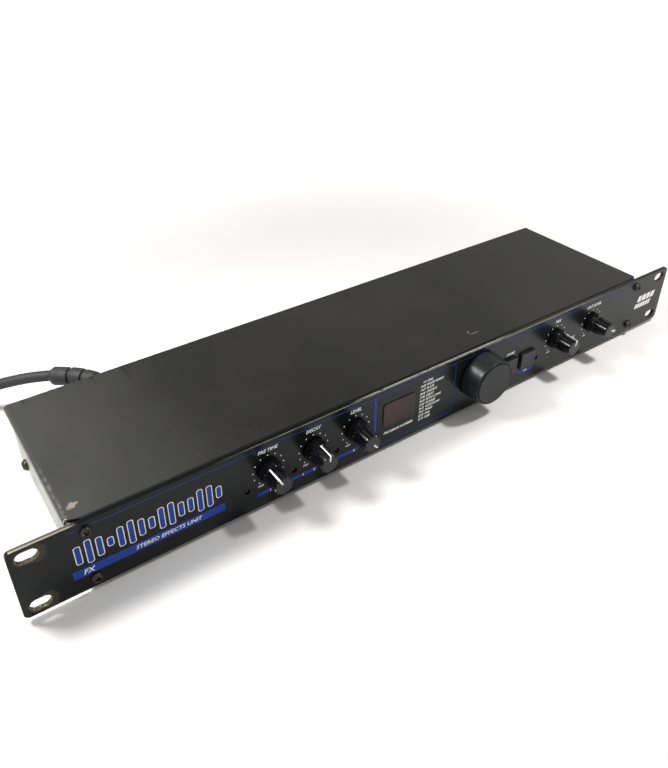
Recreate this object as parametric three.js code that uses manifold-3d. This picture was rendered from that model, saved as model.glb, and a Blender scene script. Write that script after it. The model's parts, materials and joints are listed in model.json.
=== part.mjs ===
// A one-unit, 19-inch rack effects unit, as an assembly of its separate pieces.
// Millimetres. X runs to the right as seen from the front, Y runs back into the unit and Z is up.
// The part's origin is on the left ear's back face, midway between its two slots, where a rack's
// left rail bears. The pieces are laid out in the panel's own frame, whose origin is the middle of
// the panel's bottom edge on its front face, and the group that holds them is placed last.
import * as THREE from "three";
import { mergeVertices } from "three/addons/utils/BufferGeometryUtils.js";
import Module from "manifold-3d";

const wasm = await Module();
wasm.setup();

// ---- Driving dimensions ----

const PANEL = { width: 482.6, height: 44, thickness: 2.5, corner: 3, relief: 0.3 };
const RACK_SLOT = { pitchX: 465.1, pitchZ: 31.75, length: 10.5, height: 6.8 };
const CASE = { width: 426, back: 113, bottom: 2, top: 41.8, sheet: 1.2, bend: 2.2 };
const COVER_FLANGE = 5.5; // how far the cover's edges turn down
// The cover's top and front lip come close behind the panel. Its sides stop further back.
const COVER_FRONT = { top: 5, sides: 8, topHalf: 206, lipHalf: 203.5 };
const GAP = 0.3; // clearance between neighbouring pieces
const TOUCH = 0.02; // clearance of a piece that rests against another
const LAID = 0.05; // clearance of a piece that is soldered or glued to another

const CONTROL_Z = 25; // height of the row of potentiometers
const LED_Z = 15;
const LED_X = [-120.7, -91, -62.2, 103.6];
const POTENTIOMETERS = [
  { name: "time", x: -107.4, angle: -27 },
  { name: "decay", x: -78.3, angle: 5 },
  { name: "level", x: -49.2, angle: 140 },
  { name: "mix", x: 120.8, angle: 22 },
  { name: "output", x: 158.2, angle: 100 },
];
const KNOB = {
  gap: 0.6,
  skirtRadius: 7.2,
  skirtEnd: 2.3,
  collarRadius: 5.5,
  collarEnd: 5.2,
  bodyRadius: 5.75,
  grooveDepth: 0.45,
  flutes: 14,
  length: 16.2,
  pointerWidth: 1.1,
  pointerProud: 0.3,
  pointerStart: 1.2, // the pointer's inner end, from the knob's axis
};
const SELECTOR = { x: 48.8, z: 24.6, base: 16.3, front: 15.2, length: 14.4, bevel: 1, gap: 0.6 };
const SHAFT_RADIUS = 3;
const SHAFT_FRONT = 12; // how far the shafts reach in front of the panel
const BUTTON = { z: 18.7, width: 13.2, height: 12.2, proud: 2.2, travel: 0.8 };
const BUTTONS = [
  { name: "store", x: 76 },
  { name: "bypass", x: 93.3 },
];
const WINDOW = { x: -16.8, z: 24.6, width: 24.6, height: 16.8, corner: 2 };

const FRONT_BOARD = { left: -132, right: 174, front: 14, bottom: 5, top: 39, thickness: 1.6 };
const MAIN_BOARD = { left: -96, right: 204, front: 19, back: 109, z: 9, thickness: 1.6 };

const PANEL_SCREW = { x: 205.7, z: [6.1, 37.9], headRadius: 2.9, headHeight: 2.6 };
const SIDE_SCREW = { y: 95, z: 10.5, headRadius: 3.4, headHeight: 2.6 };
const COVER_SCREW = { x: 186, z: 38.6, headRadius: 2.8, headHeight: 1.8 };
const SCREW_SHANK = { radius: 1.4, length: 7 };

const REAR_Z = 22; // height of the sockets and of the power cord
const JACKS = [
  { name: "input_jack_left", x: 176 },
  { name: "input_jack_right", x: 150 },
  { name: "output_jack_left", x: 110 },
  { name: "output_jack_right", x: 84 },
  { name: "footswitch_jack", x: 44 },
];
const JACK = { bore: 3.2, bush: 4.5, proud: 3.4, nut: 7, nutDepth: 2.4, body: 15, length: 21, wall: 2 };
const CONTROL_SOCKET = {
  x: 2,
  body: 19,
  depth: 12,
  radius: 7.6,
  proud: 0.8,
  pins: 5,
  pinRadius: 1,
  pinCircle: 3.9,
  pinDepth: 6,
};

const CORD = { x: -150, radius: 3.5 };
const BOOT = {
  bush: 5.2,
  bushDepth: 5,
  flange: 8,
  flangeDepth: 3,
  coneRadius: 6.6,
  coneEnd: 15,
  tailRadius: 5,
};
const FOOT = { x: 190, y: [18, 98], radius: 6.5, lead: 1, draft: 0.4, chamfer: 0.5, table: -3 };

const ROUND = 18; // sides of a turned piece
const ROUND_SMALL = 10;
const DEGREE = Math.PI / 180;

// ---- Materials ----

function finish(color, roughness, metalness) {
  return new THREE.MeshStandardMaterial({ color, roughness, metalness });
}

const blackPaint = finish(0x26282a, 0.45, 0.2);
const zincSteel = finish(0xc9ccd0, 0.35, 0.9);
const blackPlastic = finish(0x1c1d1f, 0.5, 0);
const blackRubber = finish(0x202023, 0.75, 0);
const blackSteel = finish(0x34352c, 0.4, 0.8);
const redWindow = finish(0x3a1216, 0.15, 0);
const redLens = finish(0x4a0f10, 0.2, 0);
const shaftMetal = finish(0xb4b6b8, 0.3, 0.9);
const nickel = finish(0xa9abad, 0.25, 0.95);
const boardGreen = finish(0x1f5a36, 0.5, 0);
const grayPlastic = finish(0x6d7073, 0.6, 0);
const laminations = finish(0x5b5d60, 0.5, 0.7);
const chipBlack = finish(0x141414, 0.55, 0);

// ---- Solids ----

// A closed geometry as a manifold-3d solid.
function solidOf(geometry) {
  const bare = geometry.clone();
  bare.deleteAttribute("normal");
  bare.deleteAttribute("uv");
  const merged = mergeVertices(bare, 1e-4);
  return new wasm.Manifold(
    new wasm.Mesh({
      numProp: 3,
      vertProperties: merged.attributes.position.array,
      triVerts: new Uint32Array(merged.index.array),
    }),
  );
}

function geometryOf(solid) {
  const mesh = solid.getMesh();
  const geometry = new THREE.BufferGeometry();
  geometry.setAttribute("position", new THREE.BufferAttribute(mesh.vertProperties, 3));
  geometry.setIndex(new THREE.BufferAttribute(mesh.triVerts, 1));
  geometry.computeVertexNormals();
  return geometry;
}

function join(...geometries) {
  return geometryOf(geometries.map(solidOf).reduce((sum, next) => sum.add(next)));
}

function cut(body, ...tools) {
  return geometryOf(tools.map(solidOf).reduce((rest, tool) => rest.subtract(tool), solidOf(body)));
}

// A box between two corners.
function box([x0, y0, z0], [x1, y1, z1]) {
  const geometry = new THREE.BoxGeometry(x1 - x0, y1 - y0, z1 - z0);
  return geometry.translate((x0 + x1) / 2, (y0 + y1) / 2, (z0 + z1) / 2);
}

// A round bar along Y, from y0 to y1.
function rodY(x, z, y0, y1, radius, sides = ROUND) {
  const geometry = new THREE.CylinderGeometry(radius, radius, y1 - y0, sides);
  return geometry.translate(x, (y0 + y1) / 2, z);
}

// A round bar along Z, from z0 to z1.
function rodZ(x, y, z0, z1, radius, sides = ROUND) {
  const geometry = new THREE.CylinderGeometry(radius, radius, z1 - z0, sides);
  return geometry.rotateX(Math.PI / 2).translate(x, y, (z0 + z1) / 2);
}

// A piece turned about the Y axis. Its profile is [radius, y] pairs in order of rising y.
function turned(profile, sides = ROUND) {
  return new THREE.LatheGeometry(
    profile.map(([radius, y]) => new THREE.Vector2(radius, y)),
    sides,
  );
}

// A flat piece with its outline in X and Z, from y0 back to y1.
function plateY(shape, y0, y1, curveSegments = 2) {
  const geometry = new THREE.ExtrudeGeometry(shape, {
    depth: y1 - y0,
    bevelEnabled: false,
    curveSegments,
  });
  return geometry.rotateX(Math.PI / 2).translate(0, y1, 0);
}

// A rounded rectangle as a closed path, centred on x, z.
function roundedRectangle(path, x, z, width, height, radius) {
  const right = x + width / 2 - radius;
  const left = x - width / 2 + radius;
  const top = z + height / 2 - radius;
  const bottom = z - height / 2 + radius;
  path.absarc(right, bottom, radius, -Math.PI / 2, 0, false);
  path.absarc(right, top, radius, 0, Math.PI / 2, false);
  path.absarc(left, top, radius, Math.PI / 2, Math.PI, false);
  path.absarc(left, bottom, radius, Math.PI, 1.5 * Math.PI, false);
  path.closePath();
  return path;
}

// A tube or bar of round section along a smooth curve through points.
function cable(points, radius, steps, sides) {
  const section = new THREE.Shape().absarc(0, 0, radius, 0, 2 * Math.PI, false);
  const path = new THREE.CatmullRomCurve3(points.map((point) => new THREE.Vector3(...point)));
  return new THREE.ExtrudeGeometry(section, {
    extrudePath: path,
    steps,
    curveSegments: sides / 2,
    bevelEnabled: false,
  });
}

// ---- Assembly ----

const unit = new THREE.Group();

function addPart(name, geometry, material, parent = unit) {
  const mesh = new THREE.Mesh(geometry, material);
  mesh.name = name;
  parent.add(mesh);
  return mesh;
}

// A group that stands on the panel at x, z and is turned clockwise, seen from the front.
function controlGroup(x, z, angle = 0) {
  const group = new THREE.Group();
  group.position.set(x, 0, z);
  group.rotation.y = angle * DEGREE;
  unit.add(group);
  return group;
}

// ---- Front panel ----

const SHAFT_HOLE = 4;
const LED_HOLE = 1.7;
const SCREW_HOLE = 1.8;
const BUTTON_CLEARANCE = 0.35;
const THROUGH = 1; // how far a cutting tool runs past the sheet that it cuts

function rackSlot(x, z) {
  const { length, height } = RACK_SLOT;
  const radius = height / 2 - 0.01;
  const outline = roundedRectangle(new THREE.Shape(), x, z, length, height, radius);
  return plateY(outline, -THROUGH, PANEL.thickness + THROUGH);
}

function panelHole(x, z, radius, sides = ROUND) {
  return rodY(x, z, -THROUGH, PANEL.thickness + THROUGH, radius, sides);
}

function panelOpening(x, z, width, height) {
  return box(
    [x - width / 2, -THROUGH, z - height / 2],
    [x + width / 2, PANEL.thickness + THROUGH, z + height / 2],
  );
}

function frontPanel() {
  const middle = PANEL.height / 2;
  const outline = roundedRectangle(
    new THREE.Shape(),
    0,
    middle,
    PANEL.width,
    PANEL.height,
    PANEL.corner,
  );
  const openings = [panelHole(SELECTOR.x, SELECTOR.z, SHAFT_HOLE)];
  for (const side of [-1, 1]) {
    for (const end of [-1, 1]) {
      const x = (side * RACK_SLOT.pitchX) / 2;
      openings.push(rackSlot(x, middle + (end * RACK_SLOT.pitchZ) / 2));
    }
    for (const z of PANEL_SCREW.z) {
      openings.push(panelHole(side * PANEL_SCREW.x, z, SCREW_HOLE, ROUND_SMALL));
    }
  }
  for (const { x } of POTENTIOMETERS) {
    openings.push(panelHole(x, CONTROL_Z, SHAFT_HOLE));
  }
  for (const x of LED_X) {
    openings.push(panelHole(x, LED_Z, LED_HOLE, ROUND_SMALL));
  }
  for (const { x } of BUTTONS) {
    const width = BUTTON.width + 2 * BUTTON_CLEARANCE;
    const height = BUTTON.height + 2 * BUTTON_CLEARANCE;
    openings.push(panelOpening(x, BUTTON.z, width, height));
  }
  const { x, z, width, height, corner } = WINDOW;
  const windowOutline = roundedRectangle(new THREE.Shape(), x, z, width, height, corner);
  openings.push(plateY(windowOutline, -THROUGH, PANEL.thickness + THROUGH));

  // The panel's back is relieved between the ears, so that the rack's rails meet the ears alone.
  const reliefHalf = CASE.width / 2 + 2;
  const relief = box(
    [-reliefHalf, PANEL.thickness - PANEL.relief, -THROUGH],
    [reliefHalf, PANEL.thickness + THROUGH, PANEL.height + THROUGH],
  );
  return cut(plateY(outline, 0, PANEL.thickness), relief, ...openings);
}

addPart("front_panel", frontPanel(), blackPaint);

// ---- Case: tray, rear panel and cover ----

const SEAM = 0.1; // clearance where one sheet is pressed against the next
const PANEL_BACK = PANEL.thickness - PANEL.relief;
const CASE_HALF = CASE.width / 2;
const TRAY_HALF = CASE_HALF - CASE.sheet - GAP;
const TRAY_FRONT = PANEL_BACK + SEAM;
const TRAY_WALL_TOP = CASE.top - CASE.sheet - GAP;
const FLOOR_TOP = CASE.bottom + CASE.sheet;
const FRONT_TAB = 14; // width of the tray's front tabs, which take the panel screws
const STANDOFF = { radius: 3.2, inset: 8, fromBack: 26 };
const SCREW_CLEARANCE = SCREW_SHANK.radius + GAP;
const SUNK = 0.4; // how far a piece that is joined to a sheet reaches into it

// A sheet bent into a channel: its outline in X and Z has two round corners at the web's ends.
// webZ is the web's outer face, edgeZ the flanges' free edges.
function channelOutline(half, webZ, edgeZ, sheet, bend) {
  const up = Math.sign(webZ - edgeZ);
  const outer = webZ - up * bend;
  const inner = webZ - up * sheet;
  const bore = bend - sheet;
  const clockwise = up > 0;
  const shape = new THREE.Shape();
  shape.moveTo(-half, edgeZ);
  shape.lineTo(-half, outer);
  shape.absarc(-half + bend, outer, bend, Math.PI, (up * Math.PI) / 2, clockwise);
  shape.absarc(half - bend, outer, bend, (up * Math.PI) / 2, 0, clockwise);
  shape.lineTo(half, edgeZ);
  shape.lineTo(half - sheet, edgeZ);
  shape.lineTo(half - sheet, inner - up * bore);
  shape.absarc(half - sheet - bore, inner - up * bore, bore, 0, (up * Math.PI) / 2, !clockwise);
  shape.absarc(
    -half + sheet + bore,
    inner - up * bore,
    bore,
    (up * Math.PI) / 2,
    Math.PI,
    !clockwise,
  );
  shape.lineTo(-half + sheet, edgeZ);
  shape.closePath();
  return shape;
}

function chassisTray() {
  const outline = channelOutline(TRAY_HALF, CASE.bottom, TRAY_WALL_TOP, CASE.sheet, CASE.bend);
  const pieces = [plateY(outline, TRAY_FRONT, REAR_PANEL_FRONT - SEAM, 3)];
  const holes = [];
  for (const side of [-1, 1]) {
    const outer = side * (TRAY_HALF - CASE.sheet / 2);
    const inner = side * (TRAY_HALF - FRONT_TAB);
    pieces.push(
      box(
        [Math.min(outer, inner), TRAY_FRONT, FLOOR_TOP - SUNK],
        [Math.max(outer, inner), TRAY_FRONT + CASE.sheet, TRAY_WALL_TOP - 1],
      ),
    );
    for (const z of PANEL_SCREW.z) {
      const tabBack = TRAY_FRONT + CASE.sheet + THROUGH;
      holes.push(rodY(side * PANEL_SCREW.x, z, 0, tabBack, SCREW_CLEARANCE, ROUND_SMALL));
    }
    const wallInside = TRAY_HALF - CASE.sheet - THROUGH;
    const sideHole = rodY(0, 0, wallInside, TRAY_HALF + THROUGH, SCREW_CLEARANCE, ROUND_SMALL);
    holes.push(sideHole.rotateZ((-side * Math.PI) / 2).translate(0, SIDE_SCREW.y, SIDE_SCREW.z));
  }
  const { radius, inset, fromBack } = STANDOFF;
  for (const x of [MAIN_BOARD.left + inset, MAIN_BOARD.right - inset]) {
    for (const y of [MAIN_BOARD.front + inset, MAIN_BOARD.back - fromBack]) {
      pieces.push(rodZ(x, y, FLOOR_TOP - SUNK, MAIN_BOARD.z - SEAM, radius, ROUND_SMALL));
    }
  }
  return cut(join(...pieces), ...holes);
}

const REAR_PANEL_FRONT = CASE.back - 2 * CASE.sheet - SEAM;

function rearPanel() {
  const half = TRAY_HALF - SEAM;
  const panelBack = REAR_PANEL_FRONT + CASE.sheet;
  const plate = box(
    [-half, REAR_PANEL_FRONT, CASE.bottom + 2 * SEAM],
    [half, panelBack, TRAY_WALL_TOP],
  );
  const hole = (x, z, radius, sides) =>
    rodY(x, z, REAR_PANEL_FRONT - THROUGH, panelBack + THROUGH, radius, sides);
  const openings = [
    hole(CONTROL_SOCKET.x, REAR_Z, CONTROL_SOCKET.radius + GAP),
    hole(CORD.x, REAR_Z, BOOT.bush + GAP),
  ];
  for (const { x } of JACKS) {
    openings.push(hole(x, REAR_Z, JACK.bush + GAP));
  }
  for (const side of [-1, 1]) {
    openings.push(hole(side * COVER_SCREW.x, COVER_SCREW.z, SCREW_CLEARANCE, ROUND_SMALL));
  }
  return cut(plate, ...openings);
}

function topCover() {
  const flangeEdge = CASE.top - COVER_FLANGE;
  const outline = channelOutline(CASE_HALF, CASE.top, flangeEdge, CASE.sheet, CASE.bend);
  const shell = plateY(outline, COVER_FRONT.sides, CASE.back, 3);
  const frontEdge = box(
    [-COVER_FRONT.topHalf, COVER_FRONT.top, CASE.top - CASE.sheet],
    [COVER_FRONT.topHalf, COVER_FRONT.sides + THROUGH, CASE.top],
  );
  const lipTop = CASE.top - CASE.sheet / 2;
  const rearLipHalf = CASE_HALF - CASE.bend;
  const frontLip = box(
    [-COVER_FRONT.lipHalf, COVER_FRONT.top, flangeEdge],
    [COVER_FRONT.lipHalf, COVER_FRONT.top + CASE.sheet, lipTop],
  );
  const rearLip = box(
    [-rearLipHalf, CASE.back - CASE.sheet, flangeEdge],
    [rearLipHalf, CASE.back, lipTop],
  );
  const holes = [-1, 1].map((side) =>
    rodY(
      side * COVER_SCREW.x,
      COVER_SCREW.z,
      CASE.back - CASE.sheet - THROUGH,
      CASE.back + THROUGH,
      SCREW_CLEARANCE,
      ROUND_SMALL,
    ),
  );
  return cut(join(shell, frontEdge, frontLip, rearLip), ...holes);
}

addPart("chassis_tray", chassisTray(), zincSteel);
addPart("rear_panel", rearPanel(), blackPaint);
addPart("top_cover", topCover(), blackPaint);

// ---- Screws ----

// A pan-head screw with its head in front of y = 0 and its shank behind it, and a round socket.
function screw({ headRadius, headHeight }) {
  const socketRadius = 0.45 * headRadius;
  const socketDepth = 0.55 * headHeight;
  const rim = 0.3 * headHeight; // the chamfer round the head
  return turned(
    [
      [0, socketDepth - headHeight],
      [socketRadius, socketDepth - headHeight],
      [socketRadius, -headHeight],
      [headRadius - rim, -headHeight],
      [headRadius, rim - headHeight],
      [headRadius, 0],
      [SCREW_SHANK.radius, 0],
      [SCREW_SHANK.radius, SCREW_SHANK.length],
      [0, SCREW_SHANK.length],
    ],
    ROUND_SMALL,
  );
}

for (const [side, word] of [
  [-1, "left"],
  [1, "right"],
]) {
  PANEL_SCREW.z.forEach((z, row) => {
    const name = "panel_screw_" + word + "_" + (row ? "upper" : "lower");
    addPart(name, screw(PANEL_SCREW), blackSteel).position.set(side * PANEL_SCREW.x, 0, z);
  });
  const sideScrew = addPart("side_screw_" + word, screw(SIDE_SCREW), blackSteel);
  sideScrew.position.set(side * (TRAY_HALF + TOUCH), SIDE_SCREW.y, SIDE_SCREW.z);
  sideScrew.rotation.z = (side * Math.PI) / 2;
  const coverScrew = addPart("cover_screw_" + word, screw(COVER_SCREW), blackSteel);
  coverScrew.position.set(side * COVER_SCREW.x, CASE.back + TOUCH, COVER_SCREW.z);
  coverScrew.rotation.z = Math.PI;
}

// ---- Feet ----

function foot() {
  const height = CASE.bottom - TOUCH - FOOT.table;
  const { radius, lead, draft, chamfer } = FOOT;
  return turned([
    [0, 0],
    [radius - lead, 0],
    [radius - draft, chamfer],
    [radius, height],
    [0, height],
  ]).rotateX(Math.PI / 2);
}

for (const [side, word] of [
  [-1, "left"],
  [1, "right"],
]) {
  FOOT.y.forEach((y, row) => {
    const name = "foot_" + (row ? "rear_" : "front_") + word;
    addPart(name, foot(), blackRubber).position.set(side * FOOT.x, y, FOOT.table);
  });
}

// ---- Potentiometers and their knobs ----

const POT = { width: 9.6, below: 6, above: 5, front: 4.6, bore: SHAFT_RADIUS + GAP, socketBack: 9.4 };
const SHAFT_BACK = 9;
const KNOB_BORE = { radius: SHAFT_RADIUS + 0.2, front: SHAFT_FRONT + 0.5 };
const FRONT_BOARD_FACE = FRONT_BOARD.front - TOUCH;
// Where a land ends and a groove starts, in steps from the middle of the land.
const FLUTE = { land: 0.34, groove: 0.42 };

// The fluted barrel of a small knob, along Y, with its grooves down the side.
function flutedBarrel(y0, y1) {
  const shape = new THREE.Shape();
  const step = (2 * Math.PI) / KNOB.flutes;
  const valley = KNOB.bodyRadius - KNOB.grooveDepth;
  const corners = [
    [-FLUTE.land, KNOB.bodyRadius],
    [FLUTE.land, KNOB.bodyRadius],
    [FLUTE.groove, valley],
    [1 - FLUTE.groove, valley],
  ];
  for (let flute = 0; flute < KNOB.flutes; flute += 1) {
    for (const [turn, radius] of corners) {
      const angle = (flute + turn) * step;
      const first = flute === 0 && turn === corners[0][0];
      const place = [radius * Math.cos(angle), radius * Math.sin(angle)];
      if (first) shape.moveTo(...place);
      else shape.lineTo(...place);
    }
  }
  shape.closePath();
  return plateY(shape, y0, y1);
}

function smallKnob() {
  const collarFront = -KNOB.collarEnd - 0.2;
  const skirtChamfer = 0.4;
  const base = turned([
    [0, collarFront],
    [KNOB.collarRadius, collarFront],
    [KNOB.collarRadius, -KNOB.skirtEnd],
    [KNOB.skirtRadius, -KNOB.skirtEnd + skirtChamfer],
    [KNOB.skirtRadius, -KNOB.gap],
    [0, -KNOB.gap],
  ]);
  const barrel = flutedBarrel(-KNOB.length, -KNOB.collarEnd);
  const half = KNOB.pointerWidth / 2;
  const pointer = box(
    [-half, -KNOB.length - KNOB.pointerProud / 2, KNOB.pointerStart],
    [half, collarFront - 0.2, KNOB.bodyRadius + KNOB.pointerProud],
  );
  return cut(join(base, barrel, pointer), knobBore());
}

function knobBore() {
  return rodY(0, 0, -KNOB_BORE.front, THROUGH, KNOB_BORE.radius);
}

function shaft() {
  const lead = 0.5;
  return turned([
    [0, -SHAFT_FRONT],
    [SHAFT_RADIUS - lead, -SHAFT_FRONT],
    [SHAFT_RADIUS, lead - SHAFT_FRONT],
    [SHAFT_RADIUS, SHAFT_BACK],
    [0, SHAFT_BACK],
  ]);
}

function potentiometer() {
  const body = box(
    [-POT.width / 2, POT.front, -POT.below],
    [POT.width / 2, FRONT_BOARD_FACE, POT.above],
  );
  return cut(body, rodY(0, 0, POT.front - THROUGH, POT.socketBack, POT.bore));
}

for (const { name, x, angle } of POTENTIOMETERS) {
  addPart(name + "_knob", smallKnob(), blackPlastic, controlGroup(x, CONTROL_Z, angle));
  addPart(name + "_shaft", shaft(), shaftMetal, controlGroup(x, CONTROL_Z));
  addPart(name + "_potentiometer", potentiometer(), grayPlastic, controlGroup(x, CONTROL_Z));
}

// ---- Selector: the large knob and its encoder ----

const ENCODER = { size: 12.4, front: 5.2 };

function selectorKnob() {
  const { base, front, length, bevel, gap } = SELECTOR;
  const body = turned(
    [
      [0, -length],
      [front - bevel, -length],
      [front, bevel - length],
      [base, -gap],
      [0, -gap],
    ],
    2 * ROUND,
  );
  return cut(body, knobBore());
}

function encoder() {
  const half = ENCODER.size / 2;
  const body = box([-half, ENCODER.front, -half], [half, FRONT_BOARD_FACE, half]);
  return cut(body, rodY(0, 0, ENCODER.front - THROUGH, POT.socketBack, POT.bore));
}

const selectorGroup = controlGroup(SELECTOR.x, SELECTOR.z);
addPart("selector_knob", selectorKnob(), blackPlastic, selectorGroup);
addPart("selector_shaft", shaft(), shaftMetal, selectorGroup);
addPart("selector_encoder", encoder(), grayPlastic, selectorGroup);

// ---- Push buttons ----

const CAP_BACK = 3.4;
const STEM = { half: 2, back: 8.6 };
const SWITCH = { half: 3, front: 11, plunger: 1.7 };
const PLUNGER_FRONT = STEM.back + BUTTON.travel + 0.2;

function buttonCap() {
  const { width, height, proud } = BUTTON;
  const cap = box([-width / 2, -proud, -height / 2], [width / 2, CAP_BACK, height / 2]);
  const stem = box([-STEM.half, 0, -STEM.half], [STEM.half, STEM.back, STEM.half]);
  return join(cap, stem);
}

function buttonSwitch() {
  const body = box(
    [-SWITCH.half, SWITCH.front, -SWITCH.half],
    [SWITCH.half, FRONT_BOARD_FACE, SWITCH.half],
  );
  const plungerBack = SWITCH.front + SUNK;
  return join(body, rodY(0, 0, PLUNGER_FRONT, plungerBack, SWITCH.plunger, ROUND_SMALL));
}

for (const { name, x } of BUTTONS) {
  addPart(name + "_button", buttonCap(), blackPlastic, controlGroup(x, BUTTON.z));
  addPart(name + "_switch", buttonSwitch(), grayPlastic, controlGroup(x, BUTTON.z));
}

// ---- Indicators and display ----

// A lens with a domed tip just inside the panel's hole, on a wider base that stands on the board.
const LED = { tip: 0.5, domeEnd: 1.6, radius: 1.4, baseFront: 6, baseRadius: 2.4 };

function led() {
  const { tip, domeEnd, radius, baseFront, baseRadius } = LED;
  return turned(
    [
      [0, tip],
      [0.65 * radius, tip + 0.2],
      [radius, domeEnd],
      [radius, baseFront],
      [baseRadius, baseFront],
      [baseRadius, FRONT_BOARD_FACE],
      [0, FRONT_BOARD_FACE],
    ],
    ROUND_SMALL,
  );
}

LED_X.forEach((x, index) => {
  addPart("indicator_" + (index + 1), led(), redLens, controlGroup(x, LED_Z));
});

const PANE = { margin: 2, thickness: 1.5 }; // the tinted pane overlaps the opening by its margin
const DIGITS = { width: 22, height: 15, front: 4.2 };

function displayWindow() {
  const halfWidth = WINDOW.width / 2 + PANE.margin;
  const halfHeight = WINDOW.height / 2 + PANE.margin;
  const front = PANEL_BACK + LAID;
  return box([-halfWidth, front, -halfHeight], [halfWidth, front + PANE.thickness, halfHeight]);
}

function digitDisplay() {
  return box(
    [-DIGITS.width / 2, DIGITS.front, -DIGITS.height / 2],
    [DIGITS.width / 2, FRONT_BOARD_FACE, DIGITS.height / 2],
  );
}

const displayGroup = controlGroup(WINDOW.x, WINDOW.z);
addPart("display_window", displayWindow(), redWindow, displayGroup);
addPart("digit_display", digitDisplay(), chipBlack, displayGroup);

// ---- Circuit boards and what stands on them ----

function frontBoard() {
  const { left, right, front, bottom, top, thickness } = FRONT_BOARD;
  return box([left, front, bottom], [right, front + thickness, top]);
}

const MAIN_BOARD_TOP = MAIN_BOARD.z + MAIN_BOARD.thickness;
const BOARD_SURFACE = MAIN_BOARD_TOP + LAID; // where a piece on the main board starts
const RIBBON = { width: 40, thickness: 0.9, bend: 8, straight: 4, top: 24 };
const CHIP = { x: 60, y: 58, size: 28, height: 3.6 };
const CAPACITOR = { x: -40, y: 60, radius: 8, top: MAIN_BOARD_TOP + 24 };
const REGULATOR = { x: -68, y: 60, width: 18, thickness: 3, height: 20 };
const FIN = { count: 5, pitch: 4, thickness: 1.2, depth: 14, height: 22 };

function mainBoard() {
  const { left, right, front, back, z } = MAIN_BOARD;
  return box([left, front, z], [right, back, MAIN_BOARD_TOP]);
}

// A flat cable that leaves the front board's back, bends and lands on the main board.
function ribbonCable() {
  const { thickness, bend, width, straight, top } = RIBBON;
  const start = FRONT_BOARD.front + FRONT_BOARD.thickness + LAID;
  const bendStart = start + straight;
  const landing = BOARD_SURFACE;
  const outerRadius = bend + thickness;
  const shape = new THREE.Shape();
  shape.moveTo(start, top);
  shape.lineTo(bendStart, top);
  shape.absarc(bendStart, top - outerRadius, outerRadius, Math.PI / 2, 0, true);
  shape.lineTo(bendStart + outerRadius, landing);
  shape.lineTo(bendStart + bend, landing);
  shape.absarc(bendStart, top - outerRadius, bend, 0, Math.PI / 2, false);
  shape.lineTo(start, top - thickness);
  shape.closePath();
  const geometry = new THREE.ExtrudeGeometry(shape, {
    depth: width,
    bevelEnabled: false,
    curveSegments: 6,
  });
  return geometry.rotateX(Math.PI / 2).rotateZ(Math.PI / 2).translate(width / 2, 0, 0);
}

function onBoard(x, y, width, depth, height) {
  return box(
    [x - width / 2, y - depth / 2, BOARD_SURFACE],
    [x + width / 2, y + depth / 2, BOARD_SURFACE + height],
  );
}

// A regulator on its heat sink: a plate with fins across it.
function voltageRegulator() {
  const { x, y, width, thickness, height } = REGULATOR;
  const pieces = [onBoard(x, y, width, thickness, height)];
  for (let n = 0; n < FIN.count; n += 1) {
    const finX = x + (n - (FIN.count - 1) / 2) * FIN.pitch;
    pieces.push(onBoard(finX, y, FIN.thickness, FIN.depth, FIN.height));
  }
  return join(...pieces);
}

function processorChip() {
  const { x, y, size, height } = CHIP;
  return onBoard(x, y, size, size, height);
}

function filterCapacitor() {
  const { x, y, radius, top } = CAPACITOR;
  return rodZ(x, y, BOARD_SURFACE, top, radius);
}

addPart("front_board", frontBoard(), boardGreen);
addPart("main_board", mainBoard(), boardGreen);
addPart("ribbon_cable", ribbonCable(), grayPlastic);
addPart("processor_chip", processorChip(), chipBlack);
addPart("voltage_regulator", voltageRegulator(), laminations);
addPart("filter_capacitor", filterCapacitor(), grayPlastic);

// ---- Power: transformer, cord, boot and plug ----

const TRANSFORMER = {
  x: -159,
  y: 51,
  core: { width: 54, depth: 22, from: 0, to: 33 },
  coil: { width: 34, depth: 36, from: 5, to: 28 },
  bracket: { width: 74, depth: 14, from: 0, to: 1.2 },
};

// The laminated core, the coil through it and the bracket under it, which stands on the floor.
function transformer() {
  const { x, y, core, coil, bracket } = TRANSFORMER;
  const base = FLOOR_TOP + LAID;
  const blocks = [core, coil, bracket].map(({ width, depth, from, to }) =>
    box(
      [x - width / 2, y - depth / 2, base + from],
      [x + width / 2, y + depth / 2, base + to],
    ),
  );
  return join(...blocks);
}

const PLUG = { length: 34, width: 24, height: 15, cordDepth: 8 };
const BLADE = { pitch: 12.7, thickness: 1.6, width: 6.4, length: 17, root: 5 };
const PLUG_AXIS_Z = FOOT.table + PLUG.height / 2 + TOUCH;

// The boot's centre line leaves the rear panel and bends towards the unit's left end.
const BOOT_PATH = [
  [CORD.x, CASE.back + 2, REAR_Z],
  [CORD.x - 2, CASE.back + 14, REAR_Z + 1.5],
  [CORD.x - 12, CASE.back + 28, REAR_Z + 2.5],
  [CORD.x - 27, CASE.back + 41, REAR_Z + 2],
];
const CORD_PATH = [
  [CORD.x, CASE.back - 18, REAR_Z],
  [CORD.x, CASE.back - 4, REAR_Z],
  ...BOOT_PATH,
  [CORD.x - 46, CASE.back + 53, REAR_Z - 1],
  [CORD.x - 70, CASE.back + 66, REAR_Z - 8],
  [CORD.x - 95, CASE.back + 73, REAR_Z - 16],
  [CORD.x - 118, CASE.back + 74, PLUG_AXIS_Z],
  [CORD.x - 134, CASE.back + 74, PLUG_AXIS_Z],
];
const CORD_STEPS = 28;
const BOOT_STEPS = 8;

function powerCord() {
  return cable(CORD_PATH, CORD.radius, CORD_STEPS, ROUND_SMALL);
}

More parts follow.
